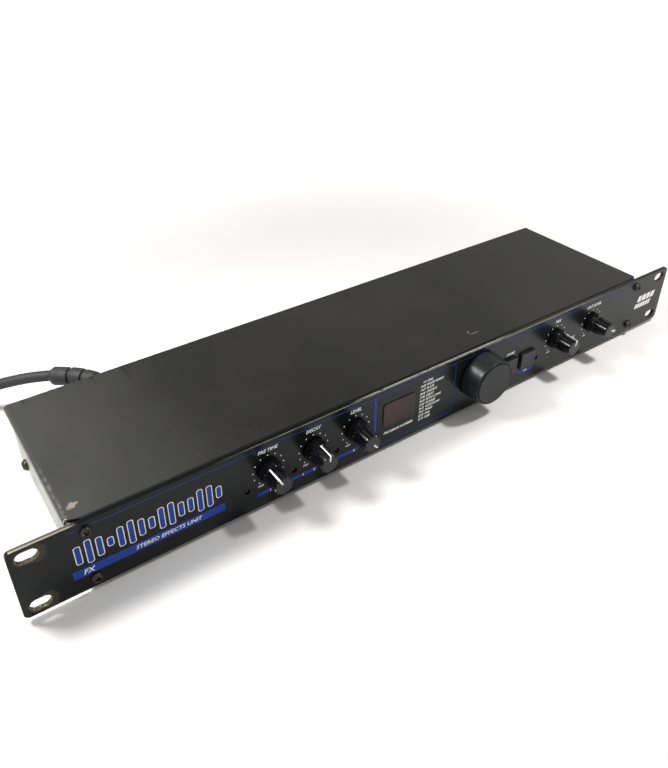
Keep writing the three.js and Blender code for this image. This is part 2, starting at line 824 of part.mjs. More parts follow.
// The boot is a tapered sleeve round the cord, with a flange outside the panel and a bush in it.
function cordBoot() {
  const sleeve = cable(BOOT_PATH, BOOT.tailRadius, BOOT_STEPS, ROUND_SMALL);
  const { bush, bushDepth, flange, flangeDepth, tailRadius, coneRadius, coneEnd } = BOOT;
  const root = turned([
    [0, CASE.back - bushDepth],
    [bush, CASE.back - bushDepth],
    [bush, CASE.back + LAID],
    [flange, CASE.back + LAID],
    [flange, CASE.back + flangeDepth],
    [coneRadius, CASE.back + flangeDepth + 1],
    [tailRadius, CASE.back + coneEnd],
    [0, CASE.back + coneEnd],
  ]).translate(CORD.x, 0, REAR_Z);
  const bore = cable(CORD_PATH, CORD.radius + GAP, CORD_STEPS, ROUND_SMALL);
  return cut(join(sleeve, root), bore);
}

// A moulded mains plug on the cord's free end, with two flat blades.
function mainsPlug() {
  const { length, width, height, cordDepth } = PLUG;
  const body = box([-length, -width / 2, -height / 2], [0, width / 2, height / 2]);
  const blades = [-0.5, 0.5].map((side) =>
    box(
      [-length - BLADE.length, side * BLADE.pitch - BLADE.thickness / 2, -BLADE.width / 2],
      [-length + BLADE.root, side * BLADE.pitch + BLADE.thickness / 2, BLADE.width / 2],
    ),
  );
  const bore = rodZ(0, 0, -cordDepth - GAP, THROUGH, CORD.radius + 2 * GAP).rotateY(Math.PI / 2);
  const [endX, endY, endZ] = CORD_PATH[CORD_PATH.length - 1];
  return cut(join(body, ...blades), bore).translate(endX + cordDepth, endY, endZ);
}

addPart("power_transformer", transformer(), laminations);
addPart("power_cord", powerCord(), blackRubber);
addPart("cord_boot", cordBoot(), blackRubber);
addPart("mains_plug", mainsPlug(), blackRubber);

// ---- Rear sockets ----

const SOCKET_BACK = REAR_PANEL_FRONT - SEAM;
const SOCKET_BASE = BOARD_SURFACE - REAR_Z; // the main board's surface, from a socket's axis

function jack() {
  const half = JACK.body / 2;
  const bodyFront = SOCKET_BACK - JACK.length;
  const body = box([-half, bodyFront, SOCKET_BASE], [half, SOCKET_BACK, half]);
  const bush = rodY(0, 0, SOCKET_BACK - THROUGH, CASE.back + JACK.proud, JACK.bush);
  const nut = rodY(0, 0, CASE.back + LAID, CASE.back + JACK.nutDepth, JACK.nut, 6);
  const bore = rodY(0, 0, bodyFront + JACK.wall, CASE.back + JACK.proud + THROUGH, JACK.bore);
  return cut(join(body, bush, nut), bore);
}

for (const { name, x } of JACKS) {
  addPart(name, jack(), nickel, controlGroup(x, REAR_Z));
}

// Its pin holes lie on the lower half of a circle.
function controlSocket() {
  const { depth, radius, proud, pins, pinRadius, pinCircle, pinDepth } = CONTROL_SOCKET;
  const half = CONTROL_SOCKET.body / 2;
  const body = box([-half, SOCKET_BACK - depth, SOCKET_BASE], [half, SOCKET_BACK, half]);
  const face = rodY(0, 0, SOCKET_BACK - THROUGH, CASE.back + proud, radius);
  const holes = [];
  for (let pin = 0; pin < pins; pin += 1) {
    const angle = -Math.PI + (Math.PI / (pins - 1)) * pin;
    const x = pinCircle * Math.cos(angle);
    const z = pinCircle * Math.sin(angle);
    const holeBack = CASE.back + proud + THROUGH;
    holes.push(rodY(x, z, CASE.back - pinDepth, holeBack, pinRadius, 8));
  }
  return cut(join(body, face), ...holes);
}

addPart("control_socket", controlSocket(), blackPlastic, controlGroup(CONTROL_SOCKET.x, REAR_Z));

// ---- The part: the unit with the left ear's back face at the origin ----

const part = new THREE.Group();
unit.position.set(RACK_SLOT.pitchX / 2, -PANEL.thickness, -PANEL.height / 2);
part.add(unit);

export default part;
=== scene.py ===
"""The looks of a one-unit rack effects unit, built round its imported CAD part."""

import json
import math

import bmesh
import bpy
from mathutils import Matrix, Vector


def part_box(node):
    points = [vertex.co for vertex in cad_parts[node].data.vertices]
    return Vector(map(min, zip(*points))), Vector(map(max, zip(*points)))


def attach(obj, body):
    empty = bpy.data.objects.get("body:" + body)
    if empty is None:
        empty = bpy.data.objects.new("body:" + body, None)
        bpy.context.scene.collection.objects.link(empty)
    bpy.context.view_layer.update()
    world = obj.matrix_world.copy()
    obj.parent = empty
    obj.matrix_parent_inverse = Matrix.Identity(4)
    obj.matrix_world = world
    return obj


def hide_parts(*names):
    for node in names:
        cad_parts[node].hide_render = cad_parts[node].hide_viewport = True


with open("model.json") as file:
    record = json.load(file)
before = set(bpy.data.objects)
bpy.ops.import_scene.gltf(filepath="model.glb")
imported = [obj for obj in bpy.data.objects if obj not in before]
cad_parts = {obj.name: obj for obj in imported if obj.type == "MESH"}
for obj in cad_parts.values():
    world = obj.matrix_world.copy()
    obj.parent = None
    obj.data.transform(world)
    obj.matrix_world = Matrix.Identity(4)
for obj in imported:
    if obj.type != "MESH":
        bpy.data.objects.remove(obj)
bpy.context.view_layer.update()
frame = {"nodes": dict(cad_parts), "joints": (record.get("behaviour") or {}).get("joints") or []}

# ---- Units and places: millimetres from the middle of the front panel's bottom edge ----

MM = 0.001
_panel_low, _panel_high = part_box("front_panel")
PANEL_ORIGIN = Vector(((_panel_low.x + _panel_high.x) / 2, _panel_low.y, _panel_low.z))
TO_PART = Matrix.Translation(PANEL_ORIGIN) @ Matrix.Scale(MM, 4)


def extent_mm(node):
    """A CAD node's lowest corner, highest corner and middle, in mm in the panel's frame."""
    low, high = ((corner - PANEL_ORIGIN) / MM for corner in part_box(node))
    return low, high, (low + high) / 2


def box_mm(node):
    return extent_mm(node)[:2]


def centre_mm(node):
    return extent_mm(node)[2]


PANEL_HALF, PANEL_THICK, PANEL_TOP = box_mm("front_panel")[1]
COVER_HALF, COVER_BACK, COVER_TOP = box_mm("top_cover")[1]
COVER_FRONT, COVER_EDGE = box_mm("top_cover")[0].yz
SIDES_FRONT = COVER_FRONT + 3  # the cover's sides stop further back than its top
TRAY_LOW, TRAY_HIGH = box_mm("chassis_tray")
TABLE = box_mm("foot_front_left")[0].z

POTS = ["time", "decay", "level", "mix", "output"]
BUTTONS = ["store", "bypass"]
JACKS = [f"{way}_jack_{side}" for way in ("input", "output") for side in ("left", "right")]
JACKS.append("footswitch_jack")
TRAVEL = 280  # degrees that a potentiometer turns

# ---- Mesh tools: every shape is made in mm in the panel's frame ----


def curve_corner(points, radius, steps=4):
    """An open profile with each inner corner rounded off."""
    rounded = [tuple(points[0])]
    for before, corner, after in zip(points, points[1:], points[2:]):
        corner = Vector(corner)
        back, ahead = Vector(before) - corner, Vector(after) - corner
        reach = min(radius, 0.45 * back.length, 0.45 * ahead.length)
        start = corner + back.normalized() * reach
        end = corner + ahead.normalized() * reach
        for step in range(steps + 1):
            t = step / steps
            point = start * (1 - t) ** 2 + corner * 2 * t * (1 - t) + end * t * t
            rounded.append(tuple(point))
    rounded.append(tuple(points[-1]))
    return rounded


def add_rings(bm, rings, looped=False):
    """Joins rings of equal length into a skin, with a cap on each end or looped back to its start."""
    rows = [[bm.verts.new(point) for point in ring] for ring in rings]
    for row, following in zip(rows, rows[1:] + rows[:1] if looped else rows[1:]):
        for i in range(len(row)):
            j = (i + 1) % len(row)
            bm.faces.new((row[i], row[j], following[j], following[i]))
    if not looped:
        bm.faces.new(rows[0])
        bm.faces.new(rows[-1])


def turned_rings(profile, sides, x=0, z=0, radius_of=None):
    """Rings about the Y axis through x, z, one for each (radius, y) of a profile.
    radius_of(radius, y, angle) may change the radius round the turn."""
    rings = []
    for radius, y in profile:
        ring = []
        for side in range(sides):
            angle = 2 * math.pi * side / sides
            r = radius_of(radius, y, angle) if radius_of else radius
            ring.append((x + r * math.sin(angle), y, z + r * math.cos(angle)))
        rings.append(ring)
    return rings


def add_turned(bm, profile, sides=64, x=0, z=0, radius_of=None):
    """A solid turned about the Y axis through x, z. The profile runs from end to end."""
    profile = [(max(radius, 0.02), y) for radius, y in profile]
    add_rings(bm, turned_rings(profile, sides, x, z, radius_of))


def add_tube_ring(bm, inner, outer, front, back, chamfer=0.3, sides=48):
    """A short open tube along Y, centred on the Y axis, with its outer back edge chamfered."""
    section = [
        (inner, front), (outer, front), (outer, back - chamfer), (outer - chamfer, back),
        (inner + chamfer / 2, back), (inner, back - chamfer / 2),
    ]
    add_rings(bm, turned_rings(section, sides), looped=True)


def add_prism(bm, outline, axis, low, high):
    """A closed outline drawn square to an axis ('X' or 'Y') and extruded along it."""
    place = {"X": lambda a, b, t: (t, a, b), "Y": lambda a, b, t: (a, t, b)}[axis]
    add_rings(bm, [[place(a, b, t) for a, b in outline] for t in (low, high)])


def add_box(bm, low, high):
    outline = [(low[0], low[2]), (high[0], low[2]), (high[0], high[2]), (low[0], high[2])]
    add_prism(bm, outline, "Y", low[1], high[1])


def arc(x, z, radius, start, end, steps):
    """Points on an arc, in degrees from +X towards +Z."""
    angles = [math.radians(start + (end - start) * i / steps) for i in range(steps + 1)]
    return [(x + radius * math.cos(a), z + radius * math.sin(a)) for a in angles]


def rounded_outline(x, z, width, height, radius, steps=6):
    """A rounded rectangle centred on x, z, anticlockwise from the lower right."""
    right, left = x + width / 2 - radius, x - width / 2 + radius
    top, bottom = z + height / 2 - radius, z - height / 2 + radius
    return (
        arc(right, bottom, radius, -90, 0, steps)
        + arc(right, top, radius, 0, 90, steps)
        + arc(left, top, radius, 90, 180, steps)
        + arc(left, bottom, radius, 180, 270, steps)
    )


def circle_outline(x, z, radius, steps=40):
    return arc(x, z, radius, 0, 360, steps)[:-1]


def hole_at(node, radius, steps=40):
    """A round opening in front of a CAD node's middle."""
    at = centre_mm(node)
    return circle_outline(at.x, at.z, radius, steps)


STAND_UP = Matrix.Rotation(math.pi / 2, 4, "X")  # a flat curve's plane becomes X and Z


def add_object(name, data):
    obj = bpy.data.objects.new(name, data)
    bpy.context.scene.collection.objects.link(obj)
    return obj


def made_mesh(name, bm, *places):
    """Turns a bmesh into mesh data whose faces point out, moved by each of the given matrices."""
    bmesh.ops.recalc_face_normals(bm, faces=bm.faces)
    for place in places:
        bm.transform(place)
    mesh = bpy.data.meshes.new(name)
    bm.to_mesh(mesh)
    bm.free()
    return mesh


def evaluated_mesh(obj):
    """An object's mesh with its modifiers applied, or a curve's as mesh."""
    bpy.context.view_layer.update()
    evaluated = obj.evaluated_get(bpy.context.evaluated_depsgraph_get())
    return bpy.data.meshes.new_from_object(evaluated)


def add_mesh(bm, curve, place):
    """Turns a curve or text data block into mesh and adds it to bm at a place."""
    obj = add_object("scrap", curve)
    mesh = evaluated_mesh(obj)
    mesh.transform(place)
    bm.from_mesh(mesh)
    bpy.data.objects.remove(obj)
    bpy.data.curves.remove(curve)
    bpy.data.meshes.remove(mesh)


def add_plate(bm, outline, holes, front, back, bevel=0.0):
    """A flat sheet in X and Z with openings, and its edges rounded by bevel."""
    curve = bpy.data.curves.new("plate", "CURVE")
    curve.dimensions = "2D"
    curve.fill_mode = "BOTH"
    curve.extrude = (back - front) / 2 - bevel
    curve.bevel_depth = bevel
    curve.bevel_resolution = 1
    curve.offset = -bevel
    for loop in [outline] + [hole[::-1] for hole in holes]:
        spline = curve.splines.new("POLY")
        spline.points.add(len(loop) - 1)
        for point, (x, z) in zip(spline.points, loop):
            point.co = (x, z, 0, 1)
        spline.use_cyclic_u = True
    add_mesh(bm, curve, Matrix.Translation((0, (front + back) / 2, 0)) @ STAND_UP)


PRINT = 0.05  # thickness of the printed ink
SLANT = 0.25
PLAIN, BOLD = 0.012, 0.022  # how far strokes are thickened, as a share of the text's size


def add_text(bm, body, x, z, size, align="CENTER", slant=SLANT, weight=BOLD, face=0.0, width=1.0):
    """Printed text on a face at Y = face, read from in front, with its baseline at z."""
    curve = bpy.data.curves.new("text", "FONT")
    curve.body = body
    curve.size = size
    curve.extrude = PRINT
    curve.align_x = align
    curve.shear = slant
    curve.offset = weight * size
    curve.resolution_u = 2
    stretch = Matrix.Diagonal((width, 1, 1, 1))
    add_mesh(bm, curve, Matrix.Translation((x, face, z)) @ STAND_UP @ stretch)


def smooth_path(points, steps):
    """A smooth curve through points, as steps + 1 even steps of its parameter."""
    points = [Vector(point) for point in points]
    ends = [2 * points[0] - points[1]] + points + [2 * points[-1] - points[-2]]
    path = []
    for step in range(steps + 1):
        place = step * (len(points) - 1) / steps
        span = min(int(place), len(points) - 2)
        t = place - span
        p0, p1, p2, p3 = ends[span : span + 4]
        path.append(
            0.5
            * (
                2 * p1
                + (p2 - p0) * t
                + (2 * p0 - 5 * p1 + 4 * p2 - p3) * t * t
                + (3 * p1 - p0 - 3 * p2 + p3) * t**3
            )
        )
    return path


def add_tube(bm, path, radius_at, sides=32):
    """A round bar along a path. radius_at(share) gives its radius at a share of the path."""
    rings = []
    side = Vector((0, 0, 1))
    for i, point in enumerate(path):
        ahead = path[min(i + 1, len(path) - 1)] - path[max(i - 1, 0)]
        ahead.normalize()
        side = (side - ahead * side.dot(ahead)).normalized()
        other = ahead.cross(side)
        radius = radius_at(i / (len(path) - 1))
        angles = [2 * math.pi * k / sides for k in range(sides)]
        rings.append([point + radius * (math.cos(a) * side + math.sin(a) * other) for a in angles])
    add_rings(bm, rings)


def bevel_edges(bm, width, angle=40, segments=2, behind=-1000):
    """Rounds every edge that is sharper than an angle and behind a depth, by a width in mm."""
    bm.normal_update()
    sharp = [e for e in bm.edges if e.is_manifold and e.calc_face_angle(0) > math.radians(angle)]
    sharp = [e for e in sharp if max(vert.co.y for vert in e.verts) > behind]
    bmesh.ops.bevel(
        bm, geom=sharp, offset=width, segments=segments, profile=0.5, affect="EDGES", clamp_overlap=True
    )


SMOOTH_ANGLE = 32


def new_piece(name, bm, material, slot, body="case", replaces=(), spin=Matrix()):
    """Makes a bmesh into a piece that rides on a body and stands for CAD nodes.
    spin, a matrix in the panel's frame, moves the shape into place first."""
    bmesh.ops.remove_doubles(bm, verts=bm.verts, dist=1e-4)
    mesh = made_mesh(name, bm, spin, TO_PART)
    mesh.shade_smooth()
    mesh.set_sharp_from_angle(angle=math.radians(SMOOTH_ANGLE))
    mesh.materials.append(material)
    piece = add_object(name, mesh)
    piece.modifiers.new("even_normals", "WEIGHTED_NORMAL").keep_sharp = True
    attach(piece, body)
    if replaces:
        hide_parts(*replaces)


def about(x, z, degrees=0):
    """Moves a shape made round the Y axis to x, z, turned clockwise as seen from in front."""
    return Matrix.Translation((x, 0, z)) @ Matrix.Rotation(math.radians(degrees), 4, "Y")


# ---- Material tools ----

SHINE = "Specular IOR Level"


class Shader:
    """A material built node by node. Sizes and places in it are in mm in the panel's frame."""

    def __init__(self, name, color, roughness, metallic=0.0, **more):
        self.material = bpy.data.materials.new(name)
        self.material.use_nodes = True
        self.nodes = self.material.node_tree.nodes
        self.links = self.material.node_tree.links
        self.nodes.clear()
        self.bsdf = self.nodes.new("ShaderNodeBsdfPrincipled")
        output = self.nodes.new("ShaderNodeOutputMaterial")
        self.links.new(self.bsdf.outputs[0], output.inputs["Surface"])
        self.look = {"Base Color": color, "Roughness": roughness, "Metallic": metallic, **more}
        self.normal = None
        place = self.nodes.new("ShaderNodeTexCoord").outputs["Object"]
        moved = self.vector("SUBTRACT", place, tuple(PANEL_ORIGIN))
        self.place = self.vector("MULTIPLY", moved, (1 / MM, 1 / MM, 1 / MM))
        split = self.nodes.new("ShaderNodeSeparateXYZ")
        self.put(split.inputs[0], self.place)
        self.x, self.y, self.z = split.outputs

    def put(self, socket, value):
        if isinstance(value, bpy.types.NodeSocket):
            self.links.new(value, socket)
        elif isinstance(value, tuple) and len(value) == 3 and socket.type == "RGBA":
            socket.default_value = (*value, 1)
        else:
            socket.default_value = value

    def vector(self, operation, a, b):
        node = self.nodes.new("ShaderNodeVectorMath")
        node.operation = operation
        self.put(node.inputs[0], a)
        self.put(node.inputs[1], b)
        return node.outputs[0]

    def math(self, operation, a, b=0.0):
        node = self.nodes.new("ShaderNodeMath")
        node.operation = operation
        self.put(node.inputs[0], a)
        self.put(node.inputs[1], b)
        return node.outputs[0]

    def times(self, a, b):
        return self.math("MULTIPLY", a, b)

    def less(self, a, b):
        return self.math("SUBTRACT", a, b)

    def distance(self, a, b):
        """The length of the step (a, b)."""
        squared = self.math("ADD", self.math("POWER", a, 2.0), self.math("POWER", b, 2.0))
        return self.math("SQRT", squared)

    def noise(self, size, detail=2.0, stretch=(1, 1, 1), shift=0.0):
        """Noise with features of about size mm, longer along the axes that are stretched."""
        node = self.nodes.new("ShaderNodeTexNoise")
        scaled = tuple(1 / (size * s) for s in stretch)
        place = self.vector("MULTIPLY", self.place, scaled)
        if shift:
            place = self.vector("ADD", place, (shift, shift, shift))
        self.put(node.inputs["Vector"], place)
        node.inputs["Scale"].default_value = 1
        node.inputs["Detail"].default_value = detail
        return node.outputs[0]

    def step(self, value, low, high, out_low=0.0, out_high=1.0):
        """Rises smoothly from out_low to out_high as value goes from low to high."""
        node = self.nodes.new("ShaderNodeMapRange")
        node.interpolation_type = "SMOOTHSTEP"
        if low > high:
            low, high, out_low, out_high = high, low, out_high, out_low
        for socket, number in zip(node.inputs, (value, low, high, out_low, out_high)):
            self.put(socket, number)
        return node.outputs[0]

    def band(self, value, low, high, soft):
        """1 between low and high, falling to 0 within soft on each side."""
        return self.all(self.step(value, low - soft, low), self.step(value, high + soft, high))

    def ragged(self, size, reach):
        """Noise about 0 that makes an edge ragged."""
        return self.all(self.less(self.noise(size, 4), 0.5), reach)

    def all(self, *masks):
        """1 where every mask is 1. A number among them weakens the result."""
        result = masks[0]
        for mask in masks[1:]:
            result = self.math("MULTIPLY", result, mask)
        return result

    def mix(self, share, a, b):
        node = self.nodes.new("ShaderNodeMix")
        color = isinstance(a, tuple) or getattr(a, "type", "") == "RGBA"
        node.data_type = "RGBA" if color else "FLOAT"
        first = 6 if color else 2
        self.put(node.inputs[0], share)
        self.put(node.inputs[first], a)
        self.put(node.inputs[first + 1], b)
        return node.outputs[2 if color else 0]

    def cover(self, mask, color=None, roughness=None, metallic=None, shine=None):
        """Lays another finish over the look where the mask is 1."""
        finish = {"Base Color": color, "Roughness": roughness, "Metallic": metallic, SHINE: shine}
        for key, value in finish.items():
            if value is not None:
                self.look[key] = self.mix(mask, self.look[key], value)

    def patches(self, size, detail, low, high, color, roughness=None, metallic=None, shift=0.0):
        """Covers the patches where noise is above low to high."""
        mask = self.step(self.noise(size, detail, shift=shift), low, high)
        self.cover(mask, color, roughness, metallic)

    def bump(self, height, depth, strength=0.5):
        """Raises the surface by up to depth mm where height is 1."""
        node = self.nodes.new("ShaderNodeBump")
        node.inputs["Strength"].default_value = strength
        node.inputs["Distance"].default_value = depth * MM
        self.put(node.inputs["Height"], height)
        if self.normal:
            self.links.new(self.normal, node.inputs["Normal"])
        self.normal = node.outputs[0]

    def done(self):
        for key, value in self.look.items():
            self.put(self.bsdf.inputs[key], value)
        if self.normal:
            self.links.new(self.normal, self.bsdf.inputs["Normal"])
        return self.material


# ---- Materials ----

SLOT_PITCH_X, SLOT_PITCH_Z = 465.1, 31.75
SLOT_LENGTH, SLOT_HEIGHT = 10.5, 6.8
PANE_FRONT = -0.55
NOSE = 1.4  # radius of the bend along the cover's front


def scaled(color, factor):
    return tuple(factor * channel for channel in color)


def powder_paint(name, dark, light, roughness, shine=0.3):
    """Fine-grained satin powder coat, a little uneven from handling."""
    s = Shader(name, dark, roughness, **{SHINE: shine})
    s.patches(60, 4, 0.35, 0.7, light, roughness + 0.07)
    prints = s.all(s.step(s.noise(14, 5, shift=7), 0.56, 0.72), s.step(s.noise(110, shift=3), 0.45, 0.62))
    s.cover(s.all(prints, 0.5), None, roughness - 0.12)
    dust = s.step(s.noise(0.9, 1, shift=11), 0.76, 0.82)
    s.cover(s.all(dust, 0.35), (0.30, 0.29, 0.27), 0.9)
    s.bump(s.noise(0.32, 2), 0.02)
    s.bump(s.noise(2.2, 2), 0.03, 0.25)
    return s


def slot_distance(s):
    """Distance in mm from the edge of the nearest rack slot."""
    from_pair = s.less(s.math("ABSOLUTE", s.x), SLOT_PITCH_X / 2)
    along = s.less(s.math("ABSOLUTE", from_pair), (SLOT_LENGTH - SLOT_HEIGHT) / 2)
    along = s.math("MAXIMUM", along, 0.0)
    from_middle = s.math("ABSOLUTE", s.less(s.z, PANEL_TOP / 2))
    across = s.math("ABSOLUTE", s.less(from_middle, SLOT_PITCH_Z / 2))
    return s.less(s.distance(along, across), SLOT_HEIGHT / 2)


def panel_paint():
    s = powder_paint("panel_paint", (0.0042, 0.0049, 0.0056), (0.0072, 0.0081, 0.0090), 0.24, shine=0.22)
    left = s.step(s.x, -200, -215)
    away = slot_distance(s)
    worn_away = s.math("ADD", away, s.ragged(3.2, 3.4))
    # Screw heads have rubbed the paint off round the slots, most towards the case.
    reach = s.mix(s.step(s.x, -232.5, -226), 1.3, 3.6)
    halo = s.step(s.less(worn_away, reach), 0.5, -0.9)
    halo = s.all(halo, s.mix(left, 0.15, 0.8), s.step(s.noise(0.8, 3), 0.34, 0.6))
    s.cover(halo, (0.075, 0.058, 0.042), 0.6, 0.15)
    lip = s.all(s.band(away, 0.0, 0.3, 0.15), s.mix(left, 0.1, 0.9))
    s.cover(s.all(lip, s.step(s.noise(1.1, 3, shift=2), 0.4, 0.5)), (0.17, 0.135, 0.10), 0.5, 0.3)
    inside = s.all(s.step(away, 0.12, 0.04), s.step(s.y, 0.2, 0.4), left)
    s.cover(inside, (0.055, 0.047, 0.036), 0.55, 0.2)
    s.cover(s.all(inside, s.step(s.noise(1.3, 3, shift=4), 0.58, 0.64)), (0.30, 0.29, 0.26), 0.45, 0.6)
    # The top edge is matt, and lighter towards the right. Its front corner carries a thin dashed line of
    # rubbed paint with a painted highlight along it, and the face is lighter across the middle.
    run = s.noise(6, 3, stretch=(1, 0.2, 0.2), shift=5)
    top = s.step(s.z, PANEL_TOP - 0.24, PANEL_TOP - 0.12)
    s.cover(top, s.mix(s.step(s.x, 40, 95), (0.004, 0.0045, 0.005), (0.028, 0.028, 0.026)), 0.7)
    front_shine = s.mix(s.step(s.x, -170, 190), 0.17, 0.26)
    s.look[SHINE] = s.mix(top, front_shine, 0.04)
    edge_line_from = s.mix(s.step(s.x, 0, 60), PANEL_TOP - 0.4, PANEL_TOP - 1.0)
    above = s.less(s.z, edge_line_from)
    corner = s.all(s.step(above, 0.0, 0.2), s.step(s.y, 0.6, 0.35))
    # Rubbed paint along the front corner with a painted highlight on it, brightest near the middle.
    edge_wear_and_highlight = s.all(s.band(s.x, -95, 130, 55), corner, s.mix(s.step(run, 0.40, 0.52), 0.55, 1.0))
    s.cover(edge_wear_and_highlight, (0.145, 0.145, 0.13), 0.45, 0.3)
    middle = s.all(top, s.band(s.x, -28, 52, 26), s.step(run, 0.30, 0.44), s.step(s.y, 1.9, 1.5))
    s.cover(middle, (0.17, 0.17, 0.155), 0.45, 0.3)
    s.cover(s.all(middle, s.band(s.y, 0.9, 1.4, 0.3)), (0.30, 0.30, 0.28), 0.4, 0.4)
    # On the ears the top face is lighter: worn paint, with painted light where the top lies in full light,
    # and painted highlights along its back and front edges.
    ear = s.all(top, s.step(s.x, -208, -214))
    s.cover(s.all(ear, s.step(run, 0.3, 0.4)), (0.085, 0.075, 0.06), 0.6, 0.2)
    back_edge = s.all(s.step(s.y, 1.95, 2.15), s.step(run, 0.36, 0.46))
    s.cover(s.all(ear, back_edge), (0.17, 0.165, 0.15), 0.5, 0.3)
    front_edge = s.all(s.step(s.y, 1.1, 0.8), s.step(run, 0.3, 0.4))
    s.cover(s.all(ear, front_edge), (0.26, 0.25, 0.22), 0.4, 0.4)
    s.cover(s.all(left, s.step(s.z, 0.26, 0.12), s.step(run, 0.34, 0.46)), (0.42, 0.41, 0.38), 0.4, 0.6)
    return s.done()


def cover_paint():
    s = powder_paint("cover_paint", (0.0072, 0.0071, 0.0064), (0.0125, 0.0122, 0.0110), 0.36)
    # Towards the left end the lid is painted lighter: some dust, and a painted sheen.
    left_end = s.step(s.x, -105, -205)
    dust_and_painted_sheen = s.all(left_end, s.mix(s.step(s.noise(35, 4, shift=8), 0.3, 0.7), 0.75, 1.0))
    s.cover(dust_and_painted_sheen, (0.034, 0.034, 0.031), 0.42)
    nose = s.step(s.y, COVER_FRONT + NOSE + 0.3, COVER_FRONT + NOSE - 0.2)
    s.cover(nose, None, 0.7, shine=0.1)
    # A chip near the front left corner, and a patchy painted highlight along the bend at the left edge.
    dx, dy = s.math("ADD", s.x, 206.2), s.less(s.y, 15.5)
    chip_edge = s.math("ADD", s.distance(s.times(dx, 0.62), dy), s.ragged(2.4, 3.8))
    chip = s.step(chip_edge, 2.1, 1.5)
    s.cover(s.all(chip, s.step(s.z, 41.0, 41.5)), (0.21, 0.195, 0.145), 0.6, 0.15)
    # Painted highlight along the left bend, towards the front.
    bend_highlight = s.all(s.band(s.x, -COVER_HALF + 0.9, -COVER_HALF + 2.4, 0.5), s.step(s.y, 62, 30))
    s.cover(s.all(bend_highlight, s.step(s.noise(2.6, 4, shift=1), 0.46, 0.60)), (0.085, 0.08, 0.075), 0.5)
    flange_end = s.all(s.step(s.y, SIDES_FRONT + 0.9, SIDES_FRONT + 0.4), s.step(s.x, -211.2, -211.7))
    s.cover(flange_end, (0.5, 0.49, 0.45), 0.4, 0.7)
    spots = s.all(s.step(s.noise(1.6, 3, shift=6), 0.66, 0.7), s.band(s.x, -212, -90, 20))
    s.cover(s.all(spots, s.step(s.y, 45, 20), 0.25), (0.12, 0.115, 0.10), 0.6)
    # A hair-fine looped scratch right of the middle, with a short tail.
    dx, dy = s.less(s.x, 57.6), s.less(s.y, 19.5)
    loop = s.all(s.band(s.distance(s.times(dx, 1.1), dy), 1.75, 1.85, 0.22), s.step(dx, 1.4, 0.4))
    tail = s.all(s.band(dy, -1.9, -1.7, 0.22), s.band(dx, -0.5, 5.0, 0.6))
    s.cover(s.math("MAXIMUM", loop, tail), (0.20, 0.20, 0.19), 0.5)
    # Long faint smears and hair lines.
    smear = s.step(s.noise(9, 3, stretch=(1, 7, 1), shift=2), 0.58, 0.7)
    s.cover(s.all(smear, s.step(s.y, 55, 90), s.step(s.x, -60, -120)), (0.006, 0.006, 0.0055), 0.6)
    lines = s.step(s.noise(0.5, 1, stretch=(1, 60, 1), shift=9), 0.76, 0.82)
    s.cover(s.all(lines, s.step(s.noise(70, shift=4), 0.5, 0.62)), (0.03, 0.03, 0.029), 0.38)
    return s.done()


def zinc_sheet():
    """Bright zinc-plated steel with its rolling grain."""
    s = Shader("zinc_sheet", (0.33, 0.335, 0.32), 0.36, 1.0)
    s.patches(9, 3, 0.4, 0.65, (0.28, 0.285, 0.27), 0.44)
    grain = s.noise(0.25, 2, stretch=(1, 40, 1))
    s.cover(s.step(grain, 0.45, 0.7), (0.39, 0.395, 0.38), 0.30)
    s.bump(grain, 0.006)
    stain = s.all(s.step(s.noise(16, 5, shift=4), 0.6, 0.72), s.step(s.z, 20, 4))
    s.cover(s.all(stain, 0.5), (0.33, 0.32, 0.29), 0.55)
    return s.done()


def plastic_finish(name, color, roughness, grain=0.25, dull=0.12, shine=0.4):
    """Moulded plastic with a fine spark-eroded grain and slightly dulled patches."""
    s = Shader(name, color, roughness, **{SHINE: shine})
    s.patches(6, 3, 0.42, 0.66, scaled(color, 1.35), roughness + dull)
    s.bump(s.noise(grain, 2), 0.012)
    return s


def moulded_plastic(*finish, **more):
    return plastic_finish(*finish, **more).done()


def knob_plastic():
    """Glossy black ribs above a darker, matt black skirt."""
    s = plastic_finish("knob_plastic", (0.004, 0.004, 0.005), 0.13, shine=0.3)
    skirt = s.step(s.y, -2.9, -2.5)
    s.cover(skirt, (0.0025, 0.0025, 0.003), 0.6, shine=0.06)
    return s.done()


def blackened_screw():
    s = Shader("blackened_screw", (0.035, 0.035, 0.026), 0.38, 0.85)
    s.patches(0.7, 3, 0.5, 0.68, (0.11, 0.095, 0.06), 0.5)
    s.patches(0.4, 2, 0.66, 0.74, (0.35, 0.33, 0.27), 0.35, shift=5)
    s.bump(s.noise(0.3, 2), 0.015)
    return s.done()


def ink(name, color):
    """Screen-printed ink, thin in places."""
    s = Shader(name, color, 0.46, **{SHINE: 0.3})
    s.patches(0.5, 3, 0.45, 0.75, scaled(color, 0.72), 0.58)
    s.bump(s.noise(0.18, 2), 0.006)
    return s.done()


def soft_rubber(name, color):
    s = Shader(name, color, 0.62)
    s.patches(5, 4, 0.45, 0.7, scaled(color, 1.8), 0.75)
    s.patches(0.7, 1, 0.72, 0.8, (0.12, 0.12, 0.115), 0.9, shift=3)
    s.bump(s.noise(0.5, 3), 0.02)
    return s.done()


def bright_metal(name, color, roughness, size=0.35):
    """Turned or plated metal with fine marks round it."""
    s = Shader(name, color, roughness, 1.0)
    s.patches(3, 3, 0.42, 0.7, scaled(color, 0.8), roughness + 0.14)
    s.bump(s.noise(size, 2), 0.006)
    return s.done()


